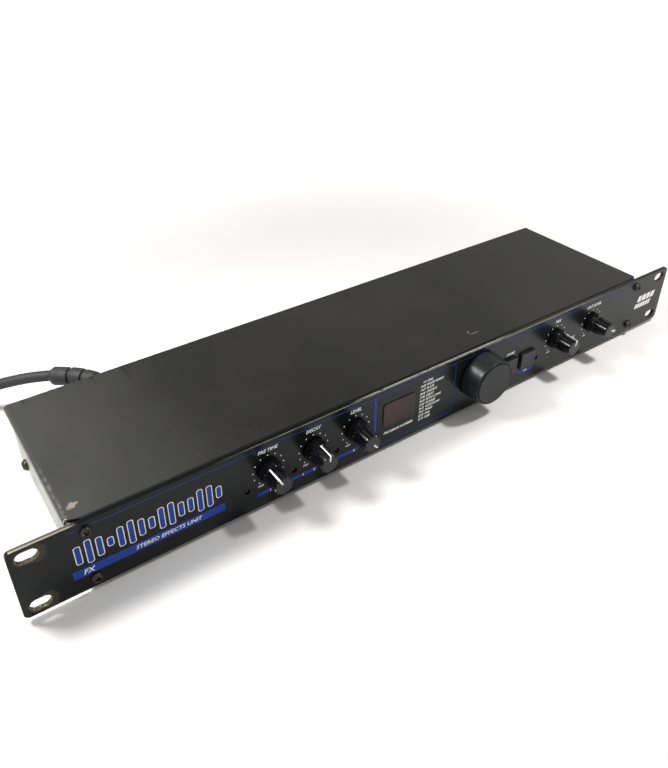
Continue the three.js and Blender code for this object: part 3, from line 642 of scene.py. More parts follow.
def tinted_pane():
    """Dark red acrylic with blackened sides, painted duller and darker towards its right for the reflection
    that fades its red there.
    """
    s = Shader("tinted_pane", (0.046, 0.010, 0.012), 0.10, **{"Transmission Weight": 0.3, "IOR": 1.34})
    # Painted reflection: duller and darker towards the right.
    s.cover(s.step(s.x, -24, -5), (0.018, 0.010, 0.011), 0.16)
    s.patches(9, 4, 0.5, 0.75, (0.036, 0.011, 0.013), 0.18)
    sides = s.step(s.y, PANE_FRONT + 0.12, PANE_FRONT + 0.2)
    s.cover(sides, (0.004, 0.003, 0.003), 0.4)
    dust = s.step(s.noise(0.8, 1, shift=8), 0.75, 0.82)
    s.cover(s.all(dust, 0.3), (0.2, 0.16, 0.16), 0.6)
    return s.done()


def lens():
    s = Shader("lens", (0.008, 0.002, 0.002), 0.2, **{SHINE: 0.25})
    s.patches(0.8, 2, 0.45, 0.7, (0.014, 0.003, 0.003), 0.28)
    return s.done()


def solder_mask():
    """A green board with lighter tracks and dull solder pads."""
    s = Shader("solder_mask", (0.010, 0.070, 0.026), 0.33, **{"Coat Weight": 0.3})
    tracks = s.nodes.new("ShaderNodeTexBrick")
    s.put(tracks.inputs["Vector"], s.vector("MULTIPLY", s.place, (0.16, 0.16, 0.16)))
    s.put(tracks.inputs["Mortar Size"], 0.035)
    s.cover(s.step(tracks.outputs["Fac"], 0.3, 0.7), (0.03, 0.15, 0.06), 0.3)
    pads = s.nodes.new("ShaderNodeTexVoronoi")
    s.put(pads.inputs["Vector"], s.vector("MULTIPLY", s.place, (0.3, 0.3, 0.3)))
    s.put(pads.inputs["Scale"], 1.0)
    s.cover(s.step(pads.outputs["Distance"], 0.2, 0.14), (0.55, 0.55, 0.52), 0.3, 0.9)
    return s.done()


def striped(name, dark, light, pitch, axis, roughness, metallic=0.0):
    """Fine even stripes across an axis: laminations, fins or the wires of a flat cable."""
    s = Shader(name, dark, roughness, metallic)
    place = {"X": s.x, "Y": s.y, "Z": s.z}[axis]
    wave = s.math("SINE", s.times(place, 2 * math.pi / pitch))
    s.cover(s.step(wave, -0.5, 0.6), light)
    s.patches(4, 4, 0.5, 0.75, scaled(light, 0.7), roughness + 0.15)
    s.bump(wave, 0.04)
    return s.done()


PANEL_PAINT = panel_paint()
COVER_PAINT = cover_paint()
REAR_PAINT = powder_paint("rear_paint", (0.011, 0.011, 0.011), (0.017, 0.017, 0.016), 0.42).done()
ZINC = zinc_sheet()
KNOB_PLASTIC = knob_plastic()
SELECTOR_PLASTIC = moulded_plastic("selector_plastic", (0.008, 0.009, 0.010), 0.30, 0.3, shine=0.22)
BUTTON_PLASTIC = moulded_plastic("button_plastic", (0.009, 0.010, 0.011), 0.36)
BLACK_PLASTIC = moulded_plastic("black_plastic", (0.015, 0.015, 0.016), 0.45, 0.35)
GRAY_PLASTIC = moulded_plastic("gray_plastic", (0.16, 0.165, 0.17), 0.45, 0.3)
CHIP_EPOXY = moulded_plastic("chip_epoxy", (0.013, 0.013, 0.013), 0.5, 0.2)
SCREW_STEEL = blackened_screw()
WHITE_INK = ink("white_ink", (0.82, 0.82, 0.80))
BLUE_INK = ink("blue_ink", (0.002, 0.033, 0.27))
LINE_INK = ink("line_ink", (0.008, 0.022, 0.13))
RUBBER = soft_rubber("rubber", (0.016, 0.016, 0.017))
CORD_VINYL = soft_rubber("cord_vinyl", (0.013, 0.013, 0.014))
NICKEL = bright_metal("nickel", (0.62, 0.60, 0.56), 0.22)
SHAFT_METAL = bright_metal("shaft_metal", (0.58, 0.59, 0.60), 0.28, 0.25)
PANE = tinted_pane()
LENS = lens()
SOLDER_MASK = solder_mask()
RIBBON = striped("ribbon_vinyl", (0.16, 0.16, 0.17), (0.30, 0.30, 0.31), 1.27, "X", 0.5)
LAMINATIONS = striped("laminations", (0.07, 0.07, 0.075), (0.17, 0.17, 0.18), 0.8, "Y", 0.42, 0.75)
HEAT_SINK = striped("heat_sink", (0.20, 0.20, 0.21), (0.34, 0.34, 0.35), 0.9, "Z", 0.4, 0.9)
SLEEVE = moulded_plastic("sleeve", (0.02, 0.03, 0.10), 0.3)

# ---- Front panel ----

PANEL_CORNER = 3.0
PANEL_BEVEL = 0.22
SHAFT_HOLE = 4.0
LED_HOLE = 1.7
SCREW_HOLE = 1.8
BUTTON_CLEARANCE = 0.22
WINDOW_WIDTH, WINDOW_HEIGHT, WINDOW_CORNER = 24.6, 16.8, 2.0


def panel_plate():
    holes = []
    for side in (-1, 1):
        for end in (-1, 1):
            x, z = side * SLOT_PITCH_X / 2, PANEL_TOP / 2 + end * SLOT_PITCH_Z / 2
            radius = SLOT_HEIGHT / 2 - 0.01
            holes.append(rounded_outline(x, z, SLOT_LENGTH, SLOT_HEIGHT, radius, 10))
    for side in ("left", "right"):
        holes += [hole_at(f"panel_screw_{side}_{row}", SCREW_HOLE, 20) for row in ("lower", "upper")]
    holes += [hole_at(name + "_shaft", SHAFT_HOLE) for name in POTS + ["selector"]]
    holes += [hole_at(f"indicator_{number}", LED_HOLE, 24) for number in range(1, 5)]
    for name in BUTTONS:
        low, high, at = extent_mm(name + "_button")
        width, height = high.x - low.x + 2 * BUTTON_CLEARANCE, high.z - low.z + 2 * BUTTON_CLEARANCE
        holes.append(rounded_outline(at.x, at.z, width, height, 0.5, 3))
    at = centre_mm("display_window")
    holes.append(rounded_outline(at.x, at.z, WINDOW_WIDTH, WINDOW_HEIGHT, WINDOW_CORNER))
    outline = rounded_outline(0, PANEL_TOP / 2, 2 * PANEL_HALF, PANEL_TOP, PANEL_CORNER, 10)
    bm = bmesh.new()
    add_plate(bm, outline, holes, 0, PANEL_THICK, PANEL_BEVEL)
    new_piece("panel_plate", bm, PANEL_PAINT, "black_paint", replaces=["front_panel"])


# ---- Printing on the front panel ----

LABEL_Z, LABEL_SIZE = 37.1, 3.0
DOT_COUNT, DOT_SWEEP, DOT_CIRCLE, DOT_RADIUS = 11, 283, 9.6, 0.42
LABELS = {"time": "PRE TIME", "decay": "DECAY", "level": "LEVEL", "mix": "MIX", "output": "OUT LEVEL"}
PROGRAMS = [
    "HALL", "ROOM WARM", "PLATE", "CHORUS", "DELAY", "ECHO LONG",
    "FLANGE", "GATE SLOW", "PHASE", "PAN", "USER",
]


def add_strip(bm, left, right, bottom, top, corner=0.3, proud=PRINT):
    outline = rounded_outline((left + right) / 2, (bottom + top) / 2, right - left, top - bottom, corner, 3)
    add_plate(bm, outline, [], -proud, PRINT)


def white_print():
    bm = bmesh.new()
    for name in POTS:
        at = centre_mm(name + "_shaft")
        add_text(bm, LABELS[name], at.x, LABEL_Z, LABEL_SIZE)
        for dot in range(DOT_COUNT):
            turn = math.radians(DOT_SWEEP * (dot / (DOT_COUNT - 1) - 0.5))
            x, z = at.x + DOT_CIRCLE * math.sin(turn), at.z + DOT_CIRCLE * math.cos(turn)
            add_plate(bm, circle_outline(x, z, DOT_RADIUS, 10), [], -PRINT, PRINT)
        add_text(bm, "MIN", at.x - 3.6, at.z - 10.5, 1.9, "RIGHT", weight=0.02)
    for x, z, size in ((137.0, 17.5, 2.5), (187.4, 4.2, 2.1)):
        add_text(bm, "MAX", x, z, size, "LEFT")
    # The list of programs beside the display, and the words under it.
    for row, words in enumerate(PROGRAMS):
        z = 36.2 - 2.78 * row
        add_text(bm, f"{9 * row + 1}-{9 * row + 9}", 3.2, z, 2.4, "RIGHT", width=0.72)
        add_text(bm, words, 4.2, z, 2.4, "LEFT", width=0.86)
    window = centre_mm("display_window")
    add_text(bm, "PROGRAM NUMBER", window.x, 10.1, 2.5)
    store, bypass = centre_mm("store_button"), centre_mm("bypass_button")
    add_text(bm, "STORE", store.x + 0.8, 27.6, 2.4)
    add_text(bm, "ON", bypass.x + 0.9, 8.0, 2.2, slant=0, face=-PRINT)
    # Small words on the blue strips.
    for x, word in ((-106.8, "1"), (-85.5, "2"), (-78.0, "3"), (-50.0, "4")):
        add_text(bm, word, x, 8.4, 2.2, slant=0, face=-PRINT)
    add_text(bm, "STEREO EFFECTS UNIT", -166.5, 11.5, 3.5, weight=PLAIN, face=-PRINT, width=1.02)
    add_text(bm, "FX", -208.5, 11.0, 4.6, weight=PLAIN, face=-PRINT)
    new_piece("white_print", bm, WHITE_INK, "black_paint")


WAVE_BARS, WAVE_LEFT, WAVE_PITCH, WAVE_WIDTH, WAVE_Z = 15, -211.5, 5.3, 3.5, 24.6


def wave_bar(number):
    """Place and height of one bar of the plain wave pattern at the panel's left."""
    share = abs(math.sin(0.83 * number + 0.7))
    return WAVE_LEFT + WAVE_PITCH * number, 5.5 + 10.0 * share


def wave_pattern():
    """Upright bars like a drawn sound wave, blue inside a white outline."""
    white, blue = bmesh.new(), bmesh.new()
    for number in range(WAVE_BARS):
        x, height = wave_bar(number)
        half = WAVE_WIDTH / 2
        add_strip(white, x - half, x + half, WAVE_Z - height / 2, WAVE_Z + height / 2, 1.2)
        inset = half - 0.45
        inner = height / 2 - 0.45
        add_strip(blue, x - inset, x + inset, WAVE_Z - inner, WAVE_Z + inner, 0.9, 2 * PRINT)
    new_piece("wave_outline", white, WHITE_INK, "black_paint")
    new_piece("wave_fill", blue, BLUE_INK, "black_paint")


# Each row's bottom, top, left end and right end, and its number of blocks.
MARK_ROWS = [(22.6, 27.6, 211.5, 231.5, 4), (17.4, 21.2, 209.5, 228.0, 6)]


def corner_mark():
    """Two rows of plain slanted blocks at the panel's right end."""
    bm = bmesh.new()
    for bottom, top, left, right, blocks in MARK_ROWS:
        pitch = (right - left) / blocks
        lean = SLANT * (top - bottom)
        for block in range(blocks):
            x0 = left + pitch * block
            x1 = x0 + 0.78 * pitch
            outline = [(x0, bottom), (x1, bottom), (x1 + lean, top), (x0 + lean, top)]
            add_plate(bm, outline, [], -PRINT, PRINT)
    new_piece("corner_mark", bm, WHITE_INK, "black_paint")


FRAME_LEFT, FRAME_RIGHT, FRAME_BOTTOM, LINE_Z = -35.0, 28.0, 3.5, 40.2
LINE = 0.6


def blue_print():
    lines, solid = bmesh.new(), bmesh.new()
    add_strip(lines, -214, 199, LINE_Z, LINE_Z + LINE, 0.25)
    # The display's frame: an open bottom half whose two lower corners are round.
    middle = (FRAME_LEFT + FRAME_RIGHT) / 2
    width, height = FRAME_RIGHT - FRAME_LEFT, LINE_Z + LINE - FRAME_BOTTOM
    outer = rounded_outline(middle, FRAME_BOTTOM + height / 2, width, height, 3.0)
    inner = rounded_outline(middle, FRAME_BOTTOM + height / 2, width - 2 * LINE, height - 2 * LINE, 2.5)
    add_plate(lines, outer, [inner], -1.2 * PRINT, PRINT)
    add_strip(solid, FRAME_LEFT - 0.7, FRAME_LEFT + 0.9, 5.5, LINE_Z, 0.3, 1.5 * PRINT)
    for left, right, bottom, top in (
        (-216, -134.5, 10.0, 15.4),
        (-115, -104, 8.2, 10.6),
        (-93.5, -76, 8.2, 10.6),
        (-62, -47, 8.2, 10.6),
        (87.4, 101.2, 7.4, 10.4),
    ):
        add_strip(solid, left, right, bottom, top)
    new_piece("blue_lines", lines, LINE_INK, "black_paint")
    new_piece("blue_strips", solid, BLUE_INK, "black_paint")


# ---- Case ----

BEND, SHEET = 2.2, 1.2
COVER_SCREW_HOLE = 1.7


def channel(half, web, edge, low, high):
    """A bent sheet: an outline in X and Z, extruded along Y. web is the outer face's height."""
    up = 1 if web > edge else -1
    outer = web - up * BEND
    inner = BEND - SHEET
    turn = up * 90
    outline = [(-half, edge)]
    outline += arc(-half + BEND, outer, BEND, 180, 180 - turn, 10)
    outline += arc(half - BEND, outer, BEND, turn, 0, 10)
    outline += [(half, edge), (half - SHEET, edge)]
    outline += arc(half - BEND, outer, inner, 0, turn, 8)
    outline += arc(-half + BEND, outer, inner, 180 - turn, 180, 8)
    outline += [(-half + SHEET, edge)]
    bm = bmesh.new()
    add_prism(bm, outline, "Y", low, high)
    return bm


NOSE_HALF, LIP_HALF = 206.0, 203.5


def cover_shell():
    bm = channel(COVER_HALF, COVER_TOP, COVER_EDGE, SIDES_FRONT, COVER_BACK)
    bevel_edges(bm, 0.25, 60, behind=SIDES_FRONT + 0.01)
    # The front edge bends down into a lip, cut short of the corners.
    bend_y, bend_z = COVER_FRONT + NOSE, COVER_TOP - NOSE
    nose = [(SIDES_FRONT, COVER_TOP), (bend_y + 0.1, COVER_TOP)] + arc(bend_y, bend_z, NOSE, 90, 180, 8)
    nose += arc(bend_y, bend_z, NOSE - SHEET, 180, 90, 6) + [(SIDES_FRONT, COVER_TOP - SHEET)]
    add_prism(bm, nose, "X", -NOSE_HALF, NOSE_HALF)
    for side in (-1, 1):
        wedge = [(NOSE_HALF, COVER_FRONT + 0.4), (NOSE_HALF, SIDES_FRONT), (COVER_HALF - 0.7, SIDES_FRONT)]
        levels = COVER_TOP - SHEET, COVER_TOP
        add_rings(bm, [[(side * x, y, z) for x, y in wedge] for z in levels])
    screw = centre_mm("cover_screw_right")
    holes = [circle_outline(side * screw.x, screw.z, COVER_SCREW_HOLE, 16) for side in (-1, 1)]
    lip_middle, lip_height = (COVER_EDGE + COVER_TOP) / 2 - 0.4, COVER_TOP - COVER_EDGE - 0.8
    rear_lip = rounded_outline(0, lip_middle, 2 * (COVER_HALF - BEND), lip_height, 0.3, 2)
    add_plate(bm, rear_lip, holes, COVER_BACK - SHEET, COVER_BACK - 0.01, 0.12)
    lip_top = bend_z + 0.2
    front_lip = rounded_outline(0, (COVER_EDGE + lip_top) / 2, 2 * LIP_HALF, lip_top - COVER_EDGE, 0.3, 2)
    add_plate(bm, front_lip, [], COVER_FRONT + 0.01, COVER_FRONT + SHEET, 0.12)
    new_piece("cover_shell", bm, COVER_PAINT, "black_paint", replaces=["top_cover"])


def tray_shell():
    bm = channel(TRAY_HIGH.x, TRAY_LOW.z, TRAY_HIGH.z, TRAY_LOW.y, TRAY_HIGH.y)
    bevel_edges(bm, 0.12, 60)
    for side in (-1, 1):
        inner, outer = sorted((side * (TRAY_HIGH.x - 14), side * (TRAY_HIGH.x - 0.6)))
        tab_low = inner, TRAY_LOW.y + 0.01, TRAY_LOW.z + 0.8
        add_box(bm, tab_low, (outer, TRAY_LOW.y + SHEET, TRAY_HIGH.z - 1))
    low, high = box_mm("main_board")
    for x in (low.x + 8, high.x - 8):
        for y in (low.y + 8, high.y - 26):
            standoff = circle_outline(x, y, 3.2, 16)
            add_rings(bm, [[(px, py, z) for px, py in standoff] for z in (TRAY_LOW.z + 0.8, low.z - 0.1)])
    new_piece("tray_shell", bm, ZINC, "zinc_steel", replaces=["chassis_tray"])


REAR_WORDS = dict(zip(JACKS, ("INPUT L", "INPUT R", "OUTPUT L", "OUTPUT R", "FOOTSWITCH")))
REAR_WORDS["control_socket"] = "CONTROL"


def rear_plate():
    low, high = box_mm("rear_panel")
    jack_z = box_mm("cord_boot")[0].z + 8
    holes = [circle_outline(centre_mm(name).x, jack_z, 4.8) for name in JACKS]
    holes.append(circle_outline(centre_mm("control_socket").x, REAR_Z, 7.9))
    holes.append(circle_outline(CORD_X, REAR_Z, 5.5))
    holes += [hole_at("cover_screw_" + side, COVER_SCREW_HOLE, 16) for side in ("left", "right")]
    outline = rounded_outline(0, (low.z + high.z) / 2, high.x - low.x, high.z - low.z, 0.6, 3)
    bm = bmesh.new()
    add_plate(bm, outline, holes, low.y, high.y, 0.12)
    new_piece("rear_plate", bm, REAR_PAINT, "black_paint", replaces=["rear_panel"])
    words = bmesh.new()
    upright = {"slant": 0, "weight": PLAIN, "face": -high.y}
    for name, word in REAR_WORDS.items():
        add_text(words, word, -centre_mm(name).x, 31.2, 2.4, **upright)
    add_text(words, "POWER", -CORD_X, 31.6, 2.4, **upright)
    read_from_behind = Matrix.Rotation(math.pi, 4, "Z")
    new_piece("rear_print", words, WHITE_INK, "black_paint", spin=read_from_behind)


# ---- Screws and feet ----

CROSS_ARM, CROSS_WIDTH = 0.58, 0.17  # of the head's radius
SHANK_RADIUS, SHANK_LENGTH = 1.4, 7.0
SIDE_HEAD, COVER_HEAD = 2.6, 1.8  # heights of the screws' heads


def screw_head(radius, height):
    """A pan-head screw along Y with its head in front of y = 0, and a cross recess."""
    bm = bmesh.new()
    profile = [(0, -height), (0.62 * radius, -height), (radius, -0.42 * height), (radius, 0)]
    profile = curve_corner(profile, 0.45 * radius, 5)
    profile += [(SHANK_RADIUS, 0), (SHANK_RADIUS, SHANK_LENGTH), (0, SHANK_LENGTH)]
    add_turned(bm, profile, 40)
    return bm


def cross_tool(radius, height):
    """The two wedge-shaped blades of a cross recess."""
    bm = bmesh.new()
    arm, half = CROSS_ARM * radius, CROSS_WIDTH * radius
    for along, across in ((arm, half), (half, arm)):
        rings = []
        for y, share in ((-height - 0.5, 1.0), (-height, 1.0), (-0.35 * height, 0.35)):
            x, z = along * (share if along == arm else 1), across * (share if across == arm else 1)
            rings.append([(-x, y, -z), (x, y, -z), (x, y, z), (-x, y, z)])
        tool = bmesh.new()
        add_rings(tool, rings)
        mesh = made_mesh("blade", tool)
        bm.from_mesh(mesh)
        bpy.data.meshes.remove(mesh)
    return bm


def with_recess(head, tool):
    """The head with the tool cut out of it, as a new bmesh."""
    body, cutter = (add_object("scrap", made_mesh("scrap", bm)) for bm in (head, tool))
    boolean = body.modifiers.new("recess", "BOOLEAN")
    boolean.operation = "DIFFERENCE"
    boolean.solver = "EXACT"
    boolean.use_self = True
    boolean.object = cutter
    mesh = evaluated_mesh(body)
    bm = bmesh.new()
    bm.from_mesh(mesh)
    bpy.data.meshes.remove(mesh)
    for obj in (body, cutter):
        bpy.data.objects.remove(obj)
    return bm


def add_screw(place, side, radius, height, turn):
    """A screw that stands for the CAD's node of the same place and side."""
    bm = with_recess(screw_head(radius, height), cross_tool(radius, height))
    node = f"{place}_screw_{side}"
    name = "screw_" + node.replace("_screw", "")
    new_piece(name, bm, SCREW_STEEL, "black_steel", replaces=[node], spin=turn)


def screws():
    for side, sign in (("left", -1), ("right", 1)):
        for number, row in enumerate(("lower", "upper")):
            low, high, at = extent_mm(f"panel_screw_{side}_{row}")
            turn = about(at.x, at.z, 25 + 50 * number + 10 * sign)
            add_screw("panel", f"{side}_{row}", (high.x - low.x) / 1.9, -low.y, turn)
        low, high, at = extent_mm("side_screw_" + side)
        turn = Matrix.Translation((sign * (TRAY_HIGH.x + 0.02), at.y, at.z))
        turn = turn @ Matrix.Rotation(sign * math.pi / 2, 4, "Z") @ about(0, 0, 20)
        add_screw("side", side, (high.z - low.z) / 2, SIDE_HEAD, turn)
        low, high, at = extent_mm("cover_screw_" + side)
        turn = Matrix.Translation((at.x, COVER_BACK + 0.02, at.z)) @ Matrix.Rotation(math.pi, 4, "Z")
        add_screw("cover", side, (high.z - low.z) / 2, COVER_HEAD, turn @ about(0, 0, 35 * sign))


def feet():
    """Round rubber feet, each with a recess round its fixing."""
    for row in ("front", "rear"):
        for side in ("left", "right"):
            node = f"foot_{row}_{side}"
            low, high = box_mm(node)
            radius, height = (high.x - low.x) / 2, high.z - low.z
            profile = [(0, 1.6), (2.4, 1.6), (2.6, 0), (radius - 0.6, 0)]
            profile = curve_corner(profile + [(radius, height - 0.4), (radius, height)], 0.7)
            bm = bmesh.new()
            add_turned(bm, profile + [(0, height)], 48)
            at = (low + high) / 2
            stand = Matrix.Translation((at.x, at.y, low.z)) @ Matrix.Rotation(math.pi / 2, 4, "X")
            new_piece(f"rubber_{node}", bm, RUBBER, "black_rubber", replaces=[node], spin=stand)


# ---- Knobs and buttons ----

FLUTES = 14
FLUTE_DEPTH = 0.85
KNOB_GAP = 0.6
SKIRT_RADIUS, SKIRT_END = 7.2, 2.3
COLLAR_RADIUS, COLLAR_END = 5.5, 5.2
BARREL_ROOT, BARREL_TIP = 6.0, 5.55
POINTER_HALF = 0.5


def smooth(low, high, value):
    """Rises smoothly from 0 at low to 1 at high. low may be the larger of the two."""
    t = min(1.0, max(0.0, (value - low) / (high - low)))
    return t * t * (3 - 2 * t)


def knob_radius(radius, y, angle):
    """A fluted barrel's radius: flat lands with rounded grooves between them, and a plain face."""
    phase = (angle * FLUTES / (2 * math.pi) + 0.5) % 1 - 0.5
    groove = smooth(0.27, 0.41, abs(phase))
    depth = FLUTE_DEPTH * smooth(-COLLAR_END + 0.1, -COLLAR_END - 0.9, y)
    return radius - depth * groove if radius > 3 else radius


def small_knob(name):
    at = centre_mm(name + "_shaft")
    length = -box_mm(name + "_knob")[0].y - 0.15
    joint = next(j for j in frame["joints"] if j["child"] == name + "_control")
    rest = -TRAVEL / 2 - joint["range_deg"][0]
    base = [
        (0, -KNOB_GAP), (SKIRT_RADIUS - 0.2, -KNOB_GAP), (SKIRT_RADIUS, -SKIRT_END + 0.3),
        (SKIRT_RADIUS - 0.6, -SKIRT_END), (COLLAR_RADIUS + 0.35, -SKIRT_END - 0.1),
        (COLLAR_RADIUS, -COLLAR_END),
    ]
    base = curve_corner(base, 0.35, 3)
    barrel = []
    for share in (station / 10 for station in range(11)):
        y = -COLLAR_END - 0.05 - share * (length - 0.4 - COLLAR_END)
        barrel.append((BARREL_ROOT + share * (BARREL_TIP - BARREL_ROOT), y))
    front = [(BARREL_TIP - 0.12, -length + 0.08), (BARREL_TIP - 0.38, -length)]
    face = [(BARREL_TIP - 1.6, -length), (3.2, -length), (2.4, -length), (0, -length)]
    bm = bmesh.new()
    add_turned(bm, base + barrel + front + face, FLUTES * 12, radius_of=knob_radius)
    body = name + "_control"
    turn = about(at.x, at.z, rest)
    new_piece(name + "_cap", bm, KNOB_PLASTIC, "black_plastic", body, [name + "_knob"], turn)
    # The white line along the barrel and down the knob's face.
    outer, proud = BARREL_TIP + 0.1, 0.15
    outline = [
        (-COLLAR_END - 0.9, BARREL_ROOT - 0.9), (-COLLAR_END - 0.9, BARREL_ROOT + 0.05),
        (-length - proud, outer), (-length - proud, 1.7), (-length + 0.1, 1.7), (-length + 0.1, outer - 0.9),
    ]
    line = bmesh.new()
    add_prism(line, outline, "X", -POINTER_HALF, POINTER_HALF)
    bevel_edges(line, 0.1)
    new_piece(name + "_pointer", line, WHITE_INK, "black_plastic", body, spin=turn)


SELECTOR_FRONT = 15.2  # radius at the front end, which tapers from the base


def selector_knob():
    """A smooth tapered barrel with a disc let into its front, a dark groove round it."""
    low, high, at = extent_mm("selector_knob")
    base, front, end = (high.x - low.x) / 2, SELECTOR_FRONT, low.y
    profile = [
        (0, -KNOB_GAP), (base - 0.5, -KNOB_GAP), (base, -KNOB_GAP - 0.6), (front, end + 1.1),
        (front - 0.25, end + 0.45), (front - 0.75, end + 0.3), (front - 0.8, end + 1.2),
        (front - 1.35, end + 1.2), (front - 1.4, end + 0.25), (front - 1.7, end), (0, end),
    ]
    profile = curve_corner(profile, 0.3, 4)
    bm = bmesh.new()
    add_turned(bm, profile, 128)
    replaced = ["selector_knob"], about(at.x, at.z)
    new_piece("selector_cap", bm, SELECTOR_PLASTIC, "black_plastic", "selector_control", *replaced)


def push_button(name):
    low, high, at = extent_mm(name + "_button")
    width, height, proud = high.x - low.x, high.z - low.z, -low.y
    bm = bmesh.new()
    rings = []
    for y, inset in (
        (3.4, 0.0), (-proud + 0.35, 0.0), (-proud + 0.15, 0.05), (-proud + 0.03, 0.18),
        (-proud, 0.4), (-proud + 0.04, 2.2), (-proud + 0.10, 4.2),
    ):
        corner = max(0.25, 0.9 - inset)
        outline = rounded_outline(at.x, at.z, width - 2 * inset, height - 2 * inset, corner, 4)
        rings.append([(x, y, z) for x, z in outline])
    add_rings(bm, rings)
    stem = 2.0
    add_box(bm, (at.x - stem, 3.3, at.z - stem), (at.x + stem, high.y, at.z + stem))
    new_piece(name + "_cap", bm, BUTTON_PLASTIC, "black_plastic", name + "_key", [name + "_button"])


# ---- Display and indicators ----

SEGMENT = 1.15  # width of a digit's bar
DIGIT_WIDTH, DIGIT_HEIGHT, DIGIT_PITCH = 6.2, 11.0, 9.6
LED_RADIUS = 1.4


def window_pane():
    """The tinted pane, set through the panel's opening and standing a little proud of it."""
    low, high, at = extent_mm("display_window")
    bm = bmesh.new()
    clear = 0.1
    outline = rounded_outline(
        at.x, at.z, WINDOW_WIDTH - 2 * clear, WINDOW_HEIGHT - 2 * clear, WINDOW_CORNER - clear
    )
    add_plate(bm, outline, [], PANE_FRONT, high.y, 0.1)
    new_piece("window_pane", bm, PANE, "red_window", replaces=["display_window"])


def digits():
    """Two unlit seven-bar figures on the face of the display block."""
    low, high, at = extent_mm("digit_display")
    bm = bmesh.new()
    half_w, half_h = DIGIT_WIDTH / 2, DIGIT_HEIGHT / 2
    bars = [(0, level, DIGIT_WIDTH - 1.8, SEGMENT) for level in (-half_h, 0, half_h)]
    for side in (-half_w, half_w):
        bars += [(side, level, SEGMENT, half_h - 1.3) for level in (-half_h / 2, half_h / 2)]
    for digit in (-0.5, 0.5):
        for x, z, width, height in bars:
            outline = rounded_outline(at.x + digit * DIGIT_PITCH + x, at.z + z, width, height, 0.4, 3)
            add_plate(bm, outline, [], low.y - 0.08, low.y + 0.05)
    new_piece("digit_bars", bm, GRAY_PLASTIC, "gray_plastic")


def indicator(number):
    node = f"indicator_{number}"
    low, high, at = extent_mm(node)
    profile = [(0, low.y), (0.5, low.y + 0.03), (1.0, low.y + 0.3)]
    profile = curve_corner(profile + [(LED_RADIUS, low.y + 1.1), (LED_RADIUS, low.y + 5.5)], 0.4, 3)
    profile += [(high.x - at.x, low.y + 5.5), (high.x - at.x, high.y), (0, high.y)]
    bm = bmesh.new()
    add_turned(bm, profile, 32)
    new_piece(f"lens_{number}", bm, LENS, "red_lens", replaces=[node], spin=about(at.x, at.z))


# ---- Rear sockets, cord and plug ----

CORD_X = -150.0
REAR_Z = 22.0
JACK_BORE, JACK_BUSH, JACK_NUT, NUT_DEPTH = 3.2, 4.5, 7.0, 2.4
CORD_RADIUS = 3.5


def hexagon(x, z, across_corners, start=0):
    return [
        (x + across_corners * math.sin(math.radians(start + 60 * i)),
         z + across_corners * math.cos(math.radians(start + 60 * i)))
        for i in range(6)
    ]


def rear_piece(name, bm, x, material=None, slot="nickel", replaces=()):
    """A piece of a rear connector whose middle is at x. It is nickel unless it is told otherwise."""
    new_piece(name, bm, material or NICKEL, slot, replaces=replaces, spin=about(x, REAR_Z))


def connector_body(node, bore, steps, wall):
    """The plastic block behind the rear panel, closed at the front by a wall."""
    low, high, at = extent_mm(node)
    back = box_mm("rear_panel")[0].y - 0.1
    body = bmesh.new()
    outline = rounded_outline(0, at.z - REAR_Z, high.x - low.x, high.z - low.z, 0.8, 3)
    add_plate(body, outline, [circle_outline(0, 0, bore, steps)], low.y + wall, back, 0.2)
    add_plate(body, outline, [], low.y, low.y + wall, 0.2)
    rear_piece(node + "_body", body, at.x, BLACK_PLASTIC, "black_plastic")


def jack(name, number):
    low, high, at = extent_mm(name)
    bush = bmesh.new()
    add_tube_ring(bush, JACK_BORE, JACK_BUSH, COVER_BACK - 3, high.y)
    nut = bmesh.new()
    add_plate(
        nut, hexagon(0, 0, JACK_NUT, 11 * number), [circle_outline(0, 0, JACK_BUSH + 0.1, 36)],
        COVER_BACK + 0.3, COVER_BACK + NUT_DEPTH, 0.25,
    )
    washer = bmesh.new()
    panel_face = box_mm("rear_panel")[1].y + 0.02
    add_tube_ring(washer, JACK_BUSH + 0.1, JACK_NUT + 0.3, panel_face, COVER_BACK + 0.3, 0.1)
    rear_piece(name + "_bush", bush, at.x, replaces=[name])
    rear_piece(name + "_nut", nut, at.x)
    rear_piece(name + "_washer", washer, at.x)
    connector_body(name, JACK_BORE, 36, 1.5)


def control_socket():
    low, high, at = extent_mm("control_socket")
    back = box_mm("rear_panel")[0].y - 0.1
    pins = []
    for pin in range(5):
        turn = math.radians(-180 + 45 * pin)
        pins.append(circle_outline(3.9 * math.cos(turn), 3.9 * math.sin(turn), 0.95, 16))
    face = bmesh.new()
    add_plate(face, circle_outline(0, 0, 6.6, 48), pins, back - 4, high.y - 0.5, 0.15)
    rear_piece("control_socket_face", face, at.x, BLACK_PLASTIC, "black_plastic")
    ring = bmesh.new()
    add_tube_ring(ring, 6.7, 7.6, back - 2, high.y, 0.25)
    rear_piece("control_socket_ring", ring, at.x, replaces=["control_socket"])
    connector_body("control_socket", 7.7, 40, 2)


def cord_path():
    """The cord's centre line: out of the rear panel, round to the left and down to the table."""
    _, plug_high, plug = extent_mm("mains_plug")
    back = COVER_BACK
    return [
        (CORD_X, back - 18, REAR_Z), (CORD_X, back - 4, REAR_Z), (CORD_X, back + 2, REAR_Z),
        (CORD_X - 2, back + 14, REAR_Z + 1.5), (CORD_X - 12, back + 28, REAR_Z + 2.5),
        (CORD_X - 27, back + 41, REAR_Z + 2), (CORD_X - 46, back + 53, REAR_Z - 1),
        (CORD_X - 70, back + 66, REAR_Z - 8), (CORD_X - 95, back + 73, REAR_Z - 16),
        (CORD_X - 118, plug.y, plug.z), (plug_high.x - 8, plug.y, plug.z),
    ]


